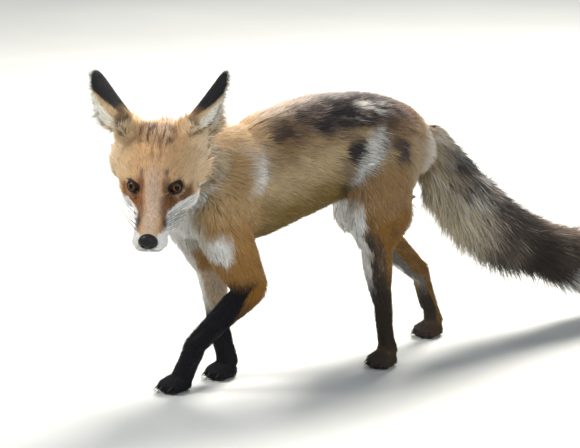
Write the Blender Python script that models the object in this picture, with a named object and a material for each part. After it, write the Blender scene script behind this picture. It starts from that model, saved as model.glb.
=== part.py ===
"""A life-size red fox in a slow walk, its head lowered and turned to its left, as one still model.

The animal faces -Y, its left side is +X and +Z is up.  The whole body is lofted from named stations,
blended into one closed form, stood on the floor, and then parted by thin cuts into head, neck, trunk,
tail and legs.  The ears, the eyes and the nose leather are solids of their own.
"""

import math

import bmesh
import bpy
import numpy as np
from mathutils import Matrix, Vector

# ---- Driving dimensions, in metres ----
BACK_HEIGHT = 0.376            # the highest point of the back, over the loin
HEAD_LENGTH = 0.165            # from the back of the skull to the tip of the nose
EYE_RADIUS = 0.0098
EYE_SPACING = 0.049            # between the centres of the two eyeballs
EAR_LENGTH = 0.088
EAR_WALL = 0.0024
GAP = 0.0004                   # the width of every parting cut
VOXEL = 0.0035                 # the grid on which the lofts are blended
BLEND_STEPS = 5
RING_POINTS = 20
SPAN_STEPS = 4
BODY_TRIANGLES = 3900


# ---- Tools ----
def clear_scene():
    for old in list(bpy.data.objects):
        bpy.data.objects.remove(old)


def material(name, colour, roughness):
    made = bpy.data.materials.new(name)
    made.use_nodes = True
    shader = made.node_tree.nodes["Principled BSDF"]
    shader.inputs["Base Color"].default_value = (*colour, 1.0)
    shader.inputs["Roughness"].default_value = roughness
    made.diffuse_color = (*colour, 1.0)
    return made


def object_of(name, bm):
    bmesh.ops.recalc_face_normals(bm, faces=bm.faces)
    mesh = bpy.data.meshes.new(name)
    bm.to_mesh(mesh)
    bm.free()
    made = bpy.data.objects.new(name, mesh)
    bpy.context.scene.collection.objects.link(made)
    return made


def smooth_rows(rows, steps=SPAN_STEPS):
    """The rows of numbers with Catmull-Rom rows between them."""
    rows = np.array(rows, float)
    ends = np.vstack([2 * rows[0] - rows[1], rows, 2 * rows[-1] - rows[-2]])
    found = []
    for i in range(1, len(ends) - 2):
        a, b, c, d = ends[i - 1:i + 3]
        for t in np.arange(steps) / steps:
            found.append(0.5 * (2 * b + (c - a) * t + (2 * a - 5 * b + 4 * c - d) * t ** 2
                                + (3 * b - a - 3 * c + d) * t ** 3))
    found.append(rows[-1])
    return np.array(found)


def loft(stations, side=(1, 0, 0), ring_points=RING_POINTS, steps=SPAN_STEPS):
    """A closed tube through stations (x, y, z, half_width, half_depth), its width along side."""
    rows = smooth_rows(stations, steps)
    centres = rows[:, :3]
    tangents = np.gradient(centres, axis=0)
    bm = bmesh.new()
    rings = []
    for (x, y, z, half_width, half_depth), tangent in zip(rows, tangents):
        along = Vector(tangent).normalized()
        across = (Vector(side) - along * along.dot(Vector(side))).normalized()
        other = along.cross(across)
        ring = []
        for k in range(ring_points):
            turn = 2 * math.pi * k / ring_points
            offset = across * half_width * math.cos(turn) + other * half_depth * math.sin(turn)
            ring.append(bm.verts.new(Vector((x, y, z)) + offset))
        rings.append(ring)
    for first, second in zip(rings, rings[1:]):
        for k in range(ring_points):
            j = (k + 1) % ring_points
            bm.faces.new((first[k], first[j], second[j], second[k]))
    bm.faces.new(rings[0])
    bm.faces.new(rings[-1])
    return object_of("loft", bm)


def ball(centre, radii, turn=None, detail=3):
    """An ellipsoid with these three radii, turned about its centre."""
    bm = bmesh.new()
    bmesh.ops.create_icosphere(bm, subdivisions=detail, radius=1.0)
    place = Matrix.Translation(centre) @ (turn or Matrix.Identity(4)) @ Matrix.Diagonal((*radii, 1.0))
    bmesh.ops.transform(bm, matrix=place, verts=bm.verts)
    return object_of("ball", bm)


def move(obj, matrix):
    obj.data.transform(matrix)
    return obj


def join(objects, name):
    bm = bmesh.new()
    for obj in objects:
        bm.from_mesh(obj.data)
        bpy.data.objects.remove(obj)
    return object_of(name, bm)


def evaluated_copy(obj):
    """Applies the object's modifiers."""
    graph = bpy.context.evaluated_depsgraph_get()
    mesh = bpy.data.meshes.new_from_object(obj.evaluated_get(graph))
    obj.modifiers.clear()
    obj.data = mesh
    return obj


# ---- Trunk: (x, y, height of the top, height of the underside, half width) ----
TRUNK = (
    (-0.012, -0.160, 0.282, 0.232, 0.016),
    (-0.013, -0.150, 0.305, 0.208, 0.034),
    (-0.013, -0.125, 0.332, 0.192, 0.046),
    (-0.011, -0.090, 0.346, 0.187, 0.052),
    (-0.008, -0.050, 0.348, 0.190, 0.053),
    (-0.004, -0.005, 0.364, 0.203, 0.053),
    (0.002, 0.045, BACK_HEIGHT, 0.219, 0.051),
    (0.008, 0.100, 0.375, 0.236, 0.050),
    (0.011, 0.150, 0.364, 0.238, 0.050),
    (0.012, 0.190, 0.345, 0.240, 0.046),
    (0.012, 0.220, 0.322, 0.252, 0.034),
    (0.012, 0.234, 0.306, 0.272, 0.016),
)


def trunk():
    stations = [(x, y, (top + under) / 2, half, (top - under) / 2) for x, y, top, under, half in TRUNK]
    return [loft(stations)]


# ---- Legs: joints, then stations (place, half width, half depth) ----
PAW_LEFT_FORE, PAW_RIGHT_FORE = (-0.014, -0.150, 0), (-0.030, -0.066, 0)
PAW_LEFT_HIND, PAW_RIGHT_HIND = (0.052, 0.139, 0), (-0.029, 0.286, 0)
TOE_LENGTH = 0.032
TOE_THICK = 0.0098


def limb(*stations):
    return loft([(*place, half_width, half_depth) for place, half_width, half_depth in stations])


def paw_directions(heading):
    forward = Vector((math.sin(heading), -math.cos(heading), 0))
    left = Vector((math.cos(heading), math.sin(heading), 0))
    return forward, left


def toe_line(paw, heading, k, reach):
    """Where toe k starts and ends on the floor."""
    forward, left = paw_directions(heading)
    root = Vector(paw) + left * 0.0050 * k
    tip = Vector(paw) + forward * TOE_LENGTH * reach + left * 0.0098 * k
    return root, tip


TOES = ((-1.5, 0.72), (-0.5, 1.0), (0.5, 1.0), (1.5, 0.72))


def toes(paw, heading):
    """Four toes that fan out from under the ankle and rest on the floor, and the pad behind them."""
    forward, left = paw_directions(heading)
    thick = TOE_THICK
    made = []
    for k, reach in TOES:
        root, tip = toe_line(paw, heading, k, reach)
        made.append(loft([
            (*(root + Vector((0, 0, thick * 1.5))), thick * 0.75, thick * 0.9),
            (*(root.lerp(tip, 0.45) + Vector((0, 0, thick * 1.30))), thick * 0.80, thick * 1.05),
            (*(root.lerp(tip, 0.85) + Vector((0, 0, thick * 0.92))), thick * 0.80, thick),
            (*(tip + Vector((0, 0, thick * 0.72))), thick * 0.62, thick * 0.75),
        ], side=left))
    made.append(ball(Vector(paw) + forward * 0.004 + Vector((0, 0, 0.010)), (0.016, 0.017, 0.012)))
    return made


def fore_leg(sign, shoulder, elbow, wrist, paw, heading):
    top = Vector((shoulder[0] * 0.5 - 0.006, shoulder[1] + 0.065, 0.312))
    ankle = Vector(paw) + Vector((0, 0, 0.020))
    elbow, wrist, shoulder = Vector(elbow), Vector(wrist), Vector(shoulder)
    inward = Vector((-sign * 0.008, 0, 0))
    made = [
        limb((top, 0.022, 0.040), (top.lerp(shoulder, 0.5), 0.026, 0.043), (shoulder + inward, 0.027, 0.036),
             (shoulder.lerp(elbow, 0.5) + inward, 0.027, 0.034), (elbow, 0.019, 0.023),
             (elbow + Vector((0, 0.004, -0.008)), 0.012, 0.014)),
        limb((elbow + Vector((inward.x, -0.006, 0.024)), 0.019, 0.024), (elbow, 0.0180, 0.0235),
             (elbow.lerp(wrist, 0.4), 0.0155, 0.0195), (elbow.lerp(wrist, 0.8), 0.0140, 0.0160),
             (wrist, 0.0145, 0.0160), (wrist.lerp(ankle, 0.55), 0.0140, 0.0145), (ankle, 0.0155, 0.0145)),
    ]
    return made + toes(paw, heading)


def hind_leg(hip, knee, hock, paw, heading):
    hip, knee, hock = Vector(hip), Vector(knee), Vector(hock)
    ankle = Vector(paw) + Vector((0, 0, 0.020))
    calf = knee.lerp(hock, 0.35) + Vector((0, 0.008, 0))
    made = [
        limb((hip + Vector((0, 0.010, 0.040)), 0.022, 0.036), (hip, 0.029, 0.050),
             (hip.lerp(knee, 0.5), 0.029, 0.047), (knee, 0.0225, 0.029),
             (knee + Vector((0, 0.004, -0.014)), 0.014, 0.018)),
        limb((hip.lerp(knee, 0.4) + Vector((0, 0.034, -0.012)), 0.024, 0.034),
             (hip.lerp(hock, 0.5) + Vector((0, 0.002, 0)), 0.021, 0.027), (calf, 0.018, 0.024),
             (knee.lerp(hock, 0.7), 0.0150, 0.0180), (hock, 0.0135, 0.0165),
             (hock + Vector((0, 0.002, -0.010)), 0.0120, 0.0145)),
        limb((knee, 0.020, 0.024), (calf, 0.0190, 0.0235), (hock, 0.013, 0.015)),
        limb((hock + Vector((0, 0.002, 0.006)), 0.0125, 0.0140), (hock.lerp(ankle, 0.4), 0.0125, 0.0135),
             (hock.lerp(ankle, 0.8), 0.0130, 0.0130), (ankle, 0.0150, 0.0140)),
    ]
    return made + toes(paw, heading)


# ---- Tail: (x, y, z, half width, half depth) ----
TAIL = (
    (0.012, 0.205, 0.306, 0.020, 0.022),
    (0.013, 0.235, 0.287, 0.027, 0.037),
    (0.015, 0.268, 0.249, 0.034, 0.044),
    (0.018, 0.310, 0.203, 0.037, 0.044),
    (0.021, 0.360, 0.161, 0.037, 0.041),
    (0.024, 0.415, 0.129, 0.037, 0.041),
    (0.026, 0.470, 0.103, 0.039, 0.044),
    (0.027, 0.525, 0.082, 0.040, 0.045),
    (0.026, 0.575, 0.067, 0.036, 0.038),
    (0.024, 0.615, 0.060, 0.023, 0.024),
    (0.022, 0.640, 0.058, 0.007, 0.008),
)


# ---- Head, in its own frame: origin at the back of the skull, nose along -Y ----
HEAD_TURN = math.radians(47)     # to the animal's left of its heading
HEAD_DROP = math.radians(36)     # nose below the horizon
SKULL_BACK = Vector((0.003, -0.184, 0.328))
HEAD_PROFILE = (                 # (y, height of the top, height of the underside, half width)
    (0.018, 0.034, -0.018, 0.026),
    (0.006, 0.050, -0.036, 0.048),
    (-0.018, 0.053, -0.045, 0.056),
    (-0.046, 0.048, -0.045, 0.052),
    (-0.069, 0.038, -0.040, 0.040),
    (-0.086, 0.027, -0.037, 0.0315),
    (-0.100, 0.018, -0.033, 0.0265),
    (-0.118, 0.011, -0.029, 0.0235),
    (-0.138, 0.009, -0.022, 0.0215),
    (-0.151, 0.007, -0.018, 0.0185),
    (-0.159, 0.004, -0.014, 0.0125),
)
EYE_CENTRE = Vector((EYE_SPACING / 2, -0.0800, 0.0134))
NOSE_CENTRE = Vector((0.0005, -0.1555, -0.002))
NOSE_RADII = (0.0115, 0.0085, 0.0095)


def head_frame():
    """The matrix that carries the head's own frame to its place on the neck."""
    return (Matrix.Translation(SKULL_BACK) @ Matrix.Rotation(HEAD_TURN, 4, "Z")
            @ Matrix.Rotation(HEAD_DROP, 4, "X"))


def head():
    made = [loft([(0, y, (top + under) / 2, half, (top - under) / 2) for y, top, under, half in HEAD_PROFILE])]
    for sign in (-1, 1):
        made.append(ball((sign * 0.030, -0.050, -0.016), (0.022, 0.031, 0.025)))       # cheek
        made.append(ball((sign * 0.046, -0.020, -0.002), (0.023, 0.028, 0.036)))       # ruff behind the cheek
        made.append(ball((sign * 0.020, -0.070, 0.021), (0.013, 0.017, 0.011)))        # brow
        made.append(ball((sign * 0.0115, -0.145, -0.009), (0.0120, 0.016, 0.0110)))    # whisker pad
        made.append(ball((sign * 0.036, -0.008, 0.036), (0.024, 0.020, 0.024)))        # root of the ear
    made.append(loft([(0, -0.050, -0.032, 0.020, 0.014), (0, -0.100, -0.028, 0.015, 0.010),
                      (0, -0.142, -0.015, 0.010, 0.005)]))                             # lower jaw
    return [move(piece, head_frame()) for piece in made]


def neck():
    return [loft([(-0.010, -0.060, 0.288, 0.044, 0.056), (-0.010, -0.105, 0.292, 0.047, 0.058),
                  (-0.005, -0.145, 0.306, 0.047, 0.054), (0.010, -0.186, 0.322, 0.046, 0.044)])]


def body():
    left_fore = fore_leg(1, (0.036, -0.120, 0.238), (0.042, -0.080, 0.140), (0.004, -0.140, 0.066),
                         PAW_LEFT_FORE, FORE_LEFT_HEADING)
    right_fore = fore_leg(-1, (-0.056, -0.121, 0.240), (-0.046, -0.082, 0.154), (-0.034, -0.078, 0.070),
                          PAW_RIGHT_FORE, FORE_RIGHT_HEADING)
    left_hind = hind_leg((0.038, 0.155, 0.290), (0.052, 0.100, 0.205), (0.046, 0.131, 0.100),
                         PAW_LEFT_HIND, HIND_LEFT_HEADING)
    right_hind = hind_leg((-0.014, 0.165, 0.285), (-0.042, 0.148, 0.188), (-0.031, 0.256, 0.100),
                          PAW_RIGHT_HIND, HIND_RIGHT_HEADING)
    return trunk() + neck() + head() + left_fore + right_fore + left_hind + right_hind + [loft(TAIL)]


FORE_LEFT_HEADING, FORE_RIGHT_HEADING = math.radians(-6), math.radians(-3)
HIND_LEFT_HEADING, HIND_RIGHT_HEADING = math.radians(5), math.radians(0)


# ---- Blending the lofts, and standing them on the floor ----
def blended(pieces):
    flesh = join(pieces, "fox")
    remesh = flesh.modifiers.new("blend", "REMESH")
    remesh.mode = "VOXEL"
    remesh.voxel_size = VOXEL
    soften = flesh.modifiers.new("soften", "SMOOTH")
    soften.factor = 0.5
    soften.iterations = BLEND_STEPS
    evaluated_copy(flesh)
    # The head and the paws keep more of their faces than the trunk and the tail do.
    coarse = flesh.vertex_groups.new(name="coarse")
    middle = head_frame() @ Vector((0, -0.090, 0))
    for vertex in flesh.data.vertices:
        near_head = (vertex.co - middle).length < 0.085
        coarse.add([vertex.index], 0.3 if near_head or vertex.co.z < 0.030 else 0.6, "REPLACE")
    thin = flesh.modifiers.new("fewer faces", "DECIMATE")
    faces = sum(len(p.vertices) - 2 for p in flesh.data.polygons)
    thin.ratio = BODY_TRIANGLES / faces
    thin.vertex_group = "coarse"
    thin.vertex_group_factor = 1.0
    evaluated_copy(flesh)
    bm = bmesh.new()
    bm.from_mesh(flesh.data)
    cut = bmesh.ops.bisect_plane(bm, geom=bm.verts[:] + bm.edges[:] + bm.faces[:], plane_co=(0, 0, SOLE),
                                 plane_no=(0, 0, 1), clear_inner=True)
    rim = [e for e in cut["geom_cut"] if isinstance(e, bmesh.types.BMEdge)]
    bmesh.ops.holes_fill(bm, edges=rim)
    bmesh.ops.translate(bm, vec=(0, 0, -SOLE), verts=bm.verts)
    bm.to_mesh(flesh.data)
    bm.free()
    return flesh


SOLE = 0.0022                    # how far up each rounded sole is cut flat


# ---- Ears ----
EAR_ROWS = (                     # (share of the length, half width, half angle of the cup, turn of the opening)
    (0.00, 0.0235, 112, 66),
    (0.15, 0.0270, 108, 72),
    (0.32, 0.0280, 98, 82),
    (0.50, 0.0258, 86, 94),
    (0.66, 0.0220, 74, 104),
    (0.80, 0.0175, 62, 113),
    (0.91, 0.0125, 54, 120),
    (1.00, 0.0060, 48, 124),
)
EAR_SPLAY = {1: math.radians(26), -1: math.radians(29)}
EAR_LEAN = math.radians(6)       # backward
EAR_ROOT = Vector((0.041, -0.008, 0.035))
EAR_POINTS = 9


def ear(sign, name):
    """A cupped shell whose hollow side faces out to the side of the head."""
    turn = Matrix.Rotation(HEAD_TURN, 3, "Z")
    ahead, side, up = turn @ Vector((0, -1, 0)), turn @ Vector((sign, 0, 0)), Vector((0, 0, 1))
    length = (up * math.cos(EAR_SPLAY[sign]) + side * math.sin(EAR_SPLAY[sign])) * math.cos(EAR_LEAN)
    length = (length - ahead * math.sin(EAR_LEAN)).normalized()
    flat_ahead = (ahead - length * ahead.dot(length)).normalized()
    flat_side = (side - length * side.dot(length) - flat_ahead * side.dot(flat_ahead)).normalized()
    root = head_frame() @ Vector((sign * EAR_ROOT.x, EAR_ROOT.y, EAR_ROOT.z))
    bm = bmesh.new()
    rows = smooth_rows(EAR_ROWS, 1)
    loops = []
    for share, half, angle, open_turn in rows:
        angle, open_turn = math.radians(angle), math.radians(open_turn)
        opening = flat_ahead * math.cos(open_turn) + flat_side * math.sin(open_turn)
        width = length.cross(opening)
        radius = half / math.sin(min(angle, math.pi / 2))
        spine = root + length * (share * EAR_LENGTH) - opening * 0.019 * (1 - share) ** 0.9
        centre = spine + opening * radius
        outer, inner = [], []
        for k in range(EAR_POINTS):
            u = angle * (2 * k / (EAR_POINTS - 1) - 1)
            out = -opening * math.cos(u) + width * math.sin(u)
            outer.append(bm.verts.new(centre + out * radius))
            inner.append(bm.verts.new(centre + out * (radius - EAR_WALL)))
        loops.append(outer + inner[::-1])
    count = len(loops[0])
    for first, second in zip(loops, loops[1:]):
        for k in range(count):
            j = (k + 1) % count
            bm.faces.new((first[k], first[j], second[j], second[k]))
    for loop in (loops[0], loops[-1]):
        for k in range(EAR_POINTS - 1):
            bm.faces.new((loop[k], loop[k + 1], loop[count - 2 - k], loop[count - 1 - k]))
    return object_of(name, bm)


# ---- Parting cuts ----
def slab(centre, normal, along, half_long, half_wide):
    """A plate of GAP thickness: half_long to each side along one direction, half_wide across it."""
    normal, along = Vector(normal).normalized(), Vector(along)
    along = (along - normal * along.dot(normal)).normalized()
    across = normal.cross(along)
    bm = bmesh.new()
    corners = []
    for k in (-0.5, 0.5):
        for i, j in ((-1, -1), (1, -1), (1, 1), (-1, 1)):
            place = Vector(centre) + normal * GAP * k + along * half_long * i + across * half_wide * j
            corners.append(bm.verts.new(place))
    for face in ((0, 1, 2, 3), (7, 6, 5, 4), (0, 4, 5, 1), (1, 5, 6, 2), (2, 6, 7, 3), (3, 7, 4, 0)):
        bm.faces.new([corners[k] for k in face])
    return object_of("cut", bm)


def hollow_prism(outline, inner, outer_x):
    """A closed shell, GAP thick, on a (y, z) outline; inner is (x low down, x high up) of its inner wall."""
    places = np.array(outline)
    middle, low, high = places.mean(axis=0), places[:, 1].min(), places[:, 1].max()
    sign = math.copysign(1, outer_x - inner[0])
    bm = bmesh.new()
    for grow in (0.0, GAP):
        near, far = [], []
        for k, here in enumerate(places):
            first, second = here - places[k - 1], places[(k + 1) % len(places)] - here
            a = np.array((first[1], -first[0])) / np.linalg.norm(first)
            b = np.array((second[1], -second[0])) / np.linalg.norm(second)
            if a @ (here - middle) < 0:
                a, b = -a, -b
            y, z = here + (a + b) / (1 + a @ b) * grow
            share = (z - low) / (high - low)
            wall = inner[0] + (inner[1] - inner[0]) * share
            near.append(bm.verts.new((wall - sign * grow, y, z)))
            far.append(bm.verts.new((outer_x + sign * grow, y, z)))
        made = [bm.faces.new(near), bm.faces.new(far[::-1])]
        for k in range(len(places)):
            j = (k + 1) % len(places)
            made.append(bm.faces.new((near[k], far[k], far[j], near[j])))
        bmesh.ops.recalc_face_normals(bm, faces=made)
        if grow == 0.0:
            bmesh.ops.reverse_faces(bm, faces=made)
    mesh = bpy.data.meshes.new("cut")
    bm.to_mesh(mesh)
    bm.free()
    made = bpy.data.objects.new("cut", mesh)
    bpy.context.scene.collection.objects.link(made)
    return made


def cut_away(obj, tool, keep_tool=False):
    """Subtracts the tool from the object and leaves a plain mesh."""
    step = obj.modifiers.new("cut", "BOOLEAN")
    step.operation = "DIFFERENCE"
    step.solver = "EXACT"
    step.object = tool
    evaluated_copy(obj)
    if not keep_tool:
        bpy.data.objects.remove(tool)


def add_on(obj, tool):
    step = obj.modifiers.new("add", "BOOLEAN")
    step.operation = "UNION"
    step.solver = "EXACT"
    step.object = tool
    evaluated_copy(obj)
    bpy.data.objects.remove(tool)


def swollen(obj, amount, name):
    """A copy with every vertex moved out along its normal."""
    mesh = obj.data.copy()
    for vertex, normal in zip(obj.data.vertices, [v.normal.copy() for v in obj.data.vertices]):
        mesh.vertices[vertex.index].co = vertex.co + normal * amount
    made = bpy.data.objects.new(name, mesh)
    bpy.context.scene.collection.objects.link(made)
    return made


def tail_cut(k, share):
    a, b = Vector(TAIL[k][:3]), Vector(TAIL[k + 1][:3])
    return slab(a.lerp(b, share), b - a, (1, 0, 0), 0.070, 0.070)


def leg_cut(centre, normal, half=0.030):
    return slab(centre, normal, (1, 0, 0), half, half)


# Outlines (y, z) of the shoulders and of the thighs.
SHOULDER = ((-0.146, 0.200), (-0.150, 0.238), (-0.128, 0.272), (-0.090, 0.308), (-0.045, 0.312),
            (-0.030, 0.270), (-0.040, 0.172), (-0.110, 0.166))
THIGH_LEFT = ((0.050, 0.178), (0.072, 0.245), (0.094, 0.300), (0.150, 0.322), (0.205, 0.300),
              (0.212, 0.240), (0.178, 0.160), (0.110, 0.150))
THIGH_RIGHT = ((0.090, 0.185), (0.092, 0.245), (0.102, 0.300), (0.150, 0.322), (0.205, 0.302),
               (0.228, 0.258), (0.237, 0.217), (0.160, 0.105), (0.118, 0.140))


def cuts():
    frame = head_frame()
    neck_way = (Vector((-0.005, -0.145, 0.306)) - SKULL_BACK).normalized()
    head_way = (frame.to_3x3() @ Vector((0, 1, 0)) + neck_way).normalized()
    return [
        slab(frame @ Vector((0, 0.004, -0.006)), head_way, (1, 0, 0), 0.085, 0.085),
        slab((-0.008, -0.120, 0.302), (0, -0.787, 0.616), (1, 0, 0), 0.080, 0.088),
        slab((0, -0.012, 0.280), (0, 1, 0), (0, 0, 1), 0.120, 0.085),
        slab((0.006, 0.078, 0.300), (0, 1, -0.22), (0, 0, 1), 0.115, 0.085),
        slab((0.013, 0.237, 0.275), (0, 1, 0.05), (1, 0, 0), 0.060, 0.067),
        hollow_prism(SHOULDER, (0.006, 0.034), 0.110),
        hollow_prism(SHOULDER, (-0.012, -0.046), -0.120),
        hollow_prism(THIGH_LEFT, (0.016, 0.020), 0.120),
        hollow_prism(THIGH_RIGHT, (0.008, -0.006), -0.110),
        tail_cut(2, 0.55), tail_cut(4, 0.35), tail_cut(6, 0.25), tail_cut(7, 0.80),
        leg_cut((0.004, -0.140, 0.062), (0.2, 0.45, 1)),
        leg_cut((-0.033, -0.074, 0.062), (0, -0.10, 1)),
        leg_cut((0.046, 0.132, 0.098), (0, -0.35, 1)),
        leg_cut((-0.031, 0.254, 0.097), (0, -0.65, 1)),
        leg_cut((0.051, 0.137, 0.034), (0, 0, 1)),
        leg_cut((-0.029, 0.278, 0.034), (0, 0, 1)),
    ]


# ---- Names of the parted pieces, each with a place near its middle ----
PIECES = {
    "head": (0.036, -0.216, 0.298), "neck": (-0.005, -0.150, 0.305), "chest": (-0.008, -0.075, 0.270),
    "loins": (0.002, 0.034, 0.293), "rump": (0.008, 0.160, 0.310),
    "tail_root": (0.015, 0.260, 0.262), "tail_upper": (0.019, 0.333, 0.181),
    "tail_middle": (0.025, 0.429, 0.121), "tail_lower": (0.026, 0.522, 0.082), "tail_tip": (0.025, 0.590, 0.061),
    "shoulder_left": (0.040, -0.100, 0.239), "shoulder_right": (-0.057, -0.101, 0.241),
    "forearm_left": (0.024, -0.110, 0.105), "forearm_right": (-0.040, -0.078, 0.112),
    "fore_paw_left": (-0.008, -0.151, 0.030), "fore_paw_right": (-0.032, -0.075, 0.030),
    "thigh_left": (0.045, 0.137, 0.223), "thigh_right": (-0.030, 0.171, 0.220),
    "shank_left": (0.049, 0.124, 0.128), "shank_right": (-0.032, 0.225, 0.130),
    "hock_left": (0.049, 0.135, 0.067), "hock_right": (-0.030, 0.268, 0.068),
    "hind_paw_left": (0.052, 0.132, 0.018), "hind_paw_right": (-0.029, 0.278, 0.017),
}
CREAM, BUFF, ORANGE = (0.62, 0.53, 0.42), (0.47, 0.30, 0.16), (0.42, 0.20, 0.08)
GREY, CHARCOAL, BLACK = (0.30, 0.25, 0.20), (0.09, 0.07, 0.06), (0.02, 0.018, 0.018)
COLOURS = {
    "head": ORANGE, "neck": BUFF, "chest": BUFF, "loins": GREY, "rump": CHARCOAL, "tail_root": GREY,
    "tail_upper": GREY, "tail_middle": GREY, "tail_lower": CHARCOAL, "tail_tip": CREAM,
    "shoulder_left": ORANGE, "shoulder_right": ORANGE, "forearm_left": CHARCOAL, "forearm_right": BUFF,
    "fore_paw_left": BLACK, "fore_paw_right": BLACK, "thigh_left": ORANGE, "thigh_right": ORANGE,
    "shank_left": ORANGE, "shank_right": ORANGE, "hock_left": CHARCOAL, "hock_right": CHARCOAL,
    "hind_paw_left": BLACK, "hind_paw_right": BLACK,
}


def parted(flesh):
    """Separates the loose pieces and names each one after the nearest place in PIECES."""
    bm = bmesh.new()
    bm.from_mesh(flesh.data)
    bpy.data.objects.remove(flesh)
    waiting, found = set(bm.verts), {}
    for start in bm.verts[:]:
        if start not in waiting:
            continue
        stack, island = [start], []
        waiting.discard(start)
        while stack:
            vertex = stack.pop()
            island.append(vertex)
            for edge in vertex.link_edges:
                other = edge.other_vert(vertex)
                if other in waiting:
                    waiting.discard(other)
                    stack.append(other)
        low = Vector([min(v.co[k] for v in island) for k in range(3)])
        high = Vector([max(v.co[k] for v in island) for k in range(3)])
        middle = (low + high) / 2
        name = min(PIECES, key=lambda n: (Vector(PIECES[n]) - middle).length)
        numbers = {v: k for k, v in enumerate(island)}
        faces = {f for v in island for f in v.link_faces}
        polygons = [[numbers[v] for v in f.verts] for f in sorted(faces, key=lambda f: f.index)]
        found.setdefault(name, []).append(([v.co.copy() for v in island], polygons))
    bm.free()
    made = {}
    for name, islands in found.items():
        places, polygons = max(islands, key=lambda island: len(island[0]))
        mesh = bpy.data.meshes.new(name)
        mesh.from_pydata(places, [], polygons)
        made[name] = bpy.data.objects.new(name, mesh)
        bpy.context.scene.collection.objects.link(made[name])
    return made


def largest_piece(obj):
    """Drops every loose fragment but the largest."""
    bm = bmesh.new()
    bm.from_mesh(obj.data)
    waiting, islands = set(bm.verts), []
    for start in bm.verts[:]:
        if start not in waiting:
            continue
        stack, island = [start], []
        waiting.discard(start)
        while stack:
            vertex = stack.pop()
            island.append(vertex)
            for edge in vertex.link_edges:
                other = edge.other_vert(vertex)
                if other in waiting:
                    waiting.discard(other)
                    stack.append(other)
        islands.append(island)
    islands.sort(key=len)
    for island in islands[:-1]:
        bmesh.ops.delete(bm, geom=island, context="VERTS")
    bm.to_mesh(obj.data)
    bm.free()
    return obj


# ---- Claws ----
def claw(paw, heading, k, reach):
    """A short curved claw at the end of toe k."""
    forward, left = paw_directions(heading)
    tip = toe_line(paw, heading, k, reach)[1]
    lift = Vector((0, 0, TOE_THICK * 0.62))
    return loft([
        (*(tip - forward * 0.005 + lift), 0.0018, 0.0024),
        (*(tip + forward * 0.001 + lift), 0.0017, 0.0023),
        (*(tip + forward * 0.0045 + lift * 0.70), 0.0012, 0.0016),
        (*(tip + forward * 0.0068 + lift * 0.36), 0.0005, 0.0006),
    ], side=left, ring_points=6, steps=1)


# ---- The model ----
clear_scene()
whole = blended(body())
cover = swollen(whole, GAP * 1.5, "cover")
ears = {sign: ear(sign, "ear_left" if sign > 0 else "ear_right") for sign in (1, -1)}
for piece in ears.values():
    cut_away(piece, cover, keep_tool=True)
    largest_piece(piece)
bpy.data.objects.remove(cover)
for tool in cuts():
    cut_away(whole, tool)
parts = parted(whole)
for sign, name in ((1, "eye_left"), (-1, "eye_right")):
    centre = (sign * EYE_CENTRE.x, EYE_CENTRE.y, EYE_CENTRE.z)
    cut_away(parts["head"], move(ball(centre, (EYE_RADIUS + GAP,) * 3, detail=2), head_frame()))
    eye = move(ball(centre, (EYE_RADIUS,) * 3, detail=2), head_frame())
    eye.name = name
    parts[name] = eye
cut_away(parts["head"], move(ball(NOSE_CENTRE, [r + GAP for r in NOSE_RADII], detail=2), head_frame()))
parts["nose_leather"] = move(ball(NOSE_CENTRE, NOSE_RADII, detail=2), head_frame())
parts["nose_leather"].name = "nose_leather"
largest_piece(parts["head"])
parts["ear_left"], parts["ear_right"] = ears[1], ears[-1]
for name, paw, heading in (("fore_paw_left", PAW_LEFT_FORE, FORE_LEFT_HEADING),
                           ("fore_paw_right", PAW_RIGHT_FORE, FORE_RIGHT_HEADING),
                           ("hind_paw_left", PAW_LEFT_HIND, HIND_LEFT_HEADING),
                           ("hind_paw_right", PAW_RIGHT_HIND, HIND_RIGHT_HEADING)):
    for k, reach in TOES:
        add_on(parts[name], claw(paw, heading, k, reach))

COLOURS.update({"eye_left": (0.16, 0.07, 0.02), "eye_right": (0.16, 0.07, 0.02), "nose_leather": BLACK,
                "ear_left": CHARCOAL, "ear_right": CHARCOAL})
for name, piece in parts.items():
    roughness = 0.12 if name.startswith("eye") else 0.45 if name == "nose_leather" else 0.85
    piece.data.materials.clear()
    piece.data.materials.append(material(name, COLOURS[name], roughness))

# The origin goes to the middle of the footprint of the whole animal.
everything = np.array([v.co for piece in parts.values() for v in piece.data.vertices])
low, high = everything.min(axis=0), everything.max(axis=0)
PLACED_BY = (-(low[0] + high[0]) / 2, -(low[1] + high[1]) / 2, 0.0)
for piece in parts.values():
    move(piece, Matrix.Translation(PLACED_BY))
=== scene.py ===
import itertools
import math
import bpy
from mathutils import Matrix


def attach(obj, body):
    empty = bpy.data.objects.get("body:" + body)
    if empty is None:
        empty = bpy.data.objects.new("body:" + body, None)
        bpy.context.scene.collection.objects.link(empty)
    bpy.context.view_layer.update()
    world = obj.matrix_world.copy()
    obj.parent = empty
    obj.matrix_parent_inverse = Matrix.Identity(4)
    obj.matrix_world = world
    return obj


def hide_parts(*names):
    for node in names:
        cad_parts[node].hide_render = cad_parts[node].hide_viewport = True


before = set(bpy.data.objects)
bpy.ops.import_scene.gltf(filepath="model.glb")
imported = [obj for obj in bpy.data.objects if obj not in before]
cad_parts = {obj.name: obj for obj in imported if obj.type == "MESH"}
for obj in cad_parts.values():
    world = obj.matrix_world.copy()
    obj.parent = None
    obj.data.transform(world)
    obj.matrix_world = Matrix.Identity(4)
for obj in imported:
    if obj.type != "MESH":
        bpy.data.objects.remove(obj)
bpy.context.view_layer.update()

from types import SimpleNamespace

import bmesh
import bpy
import numpy as np
from mathutils import Matrix, Vector

scene = bpy.context.scene

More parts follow.
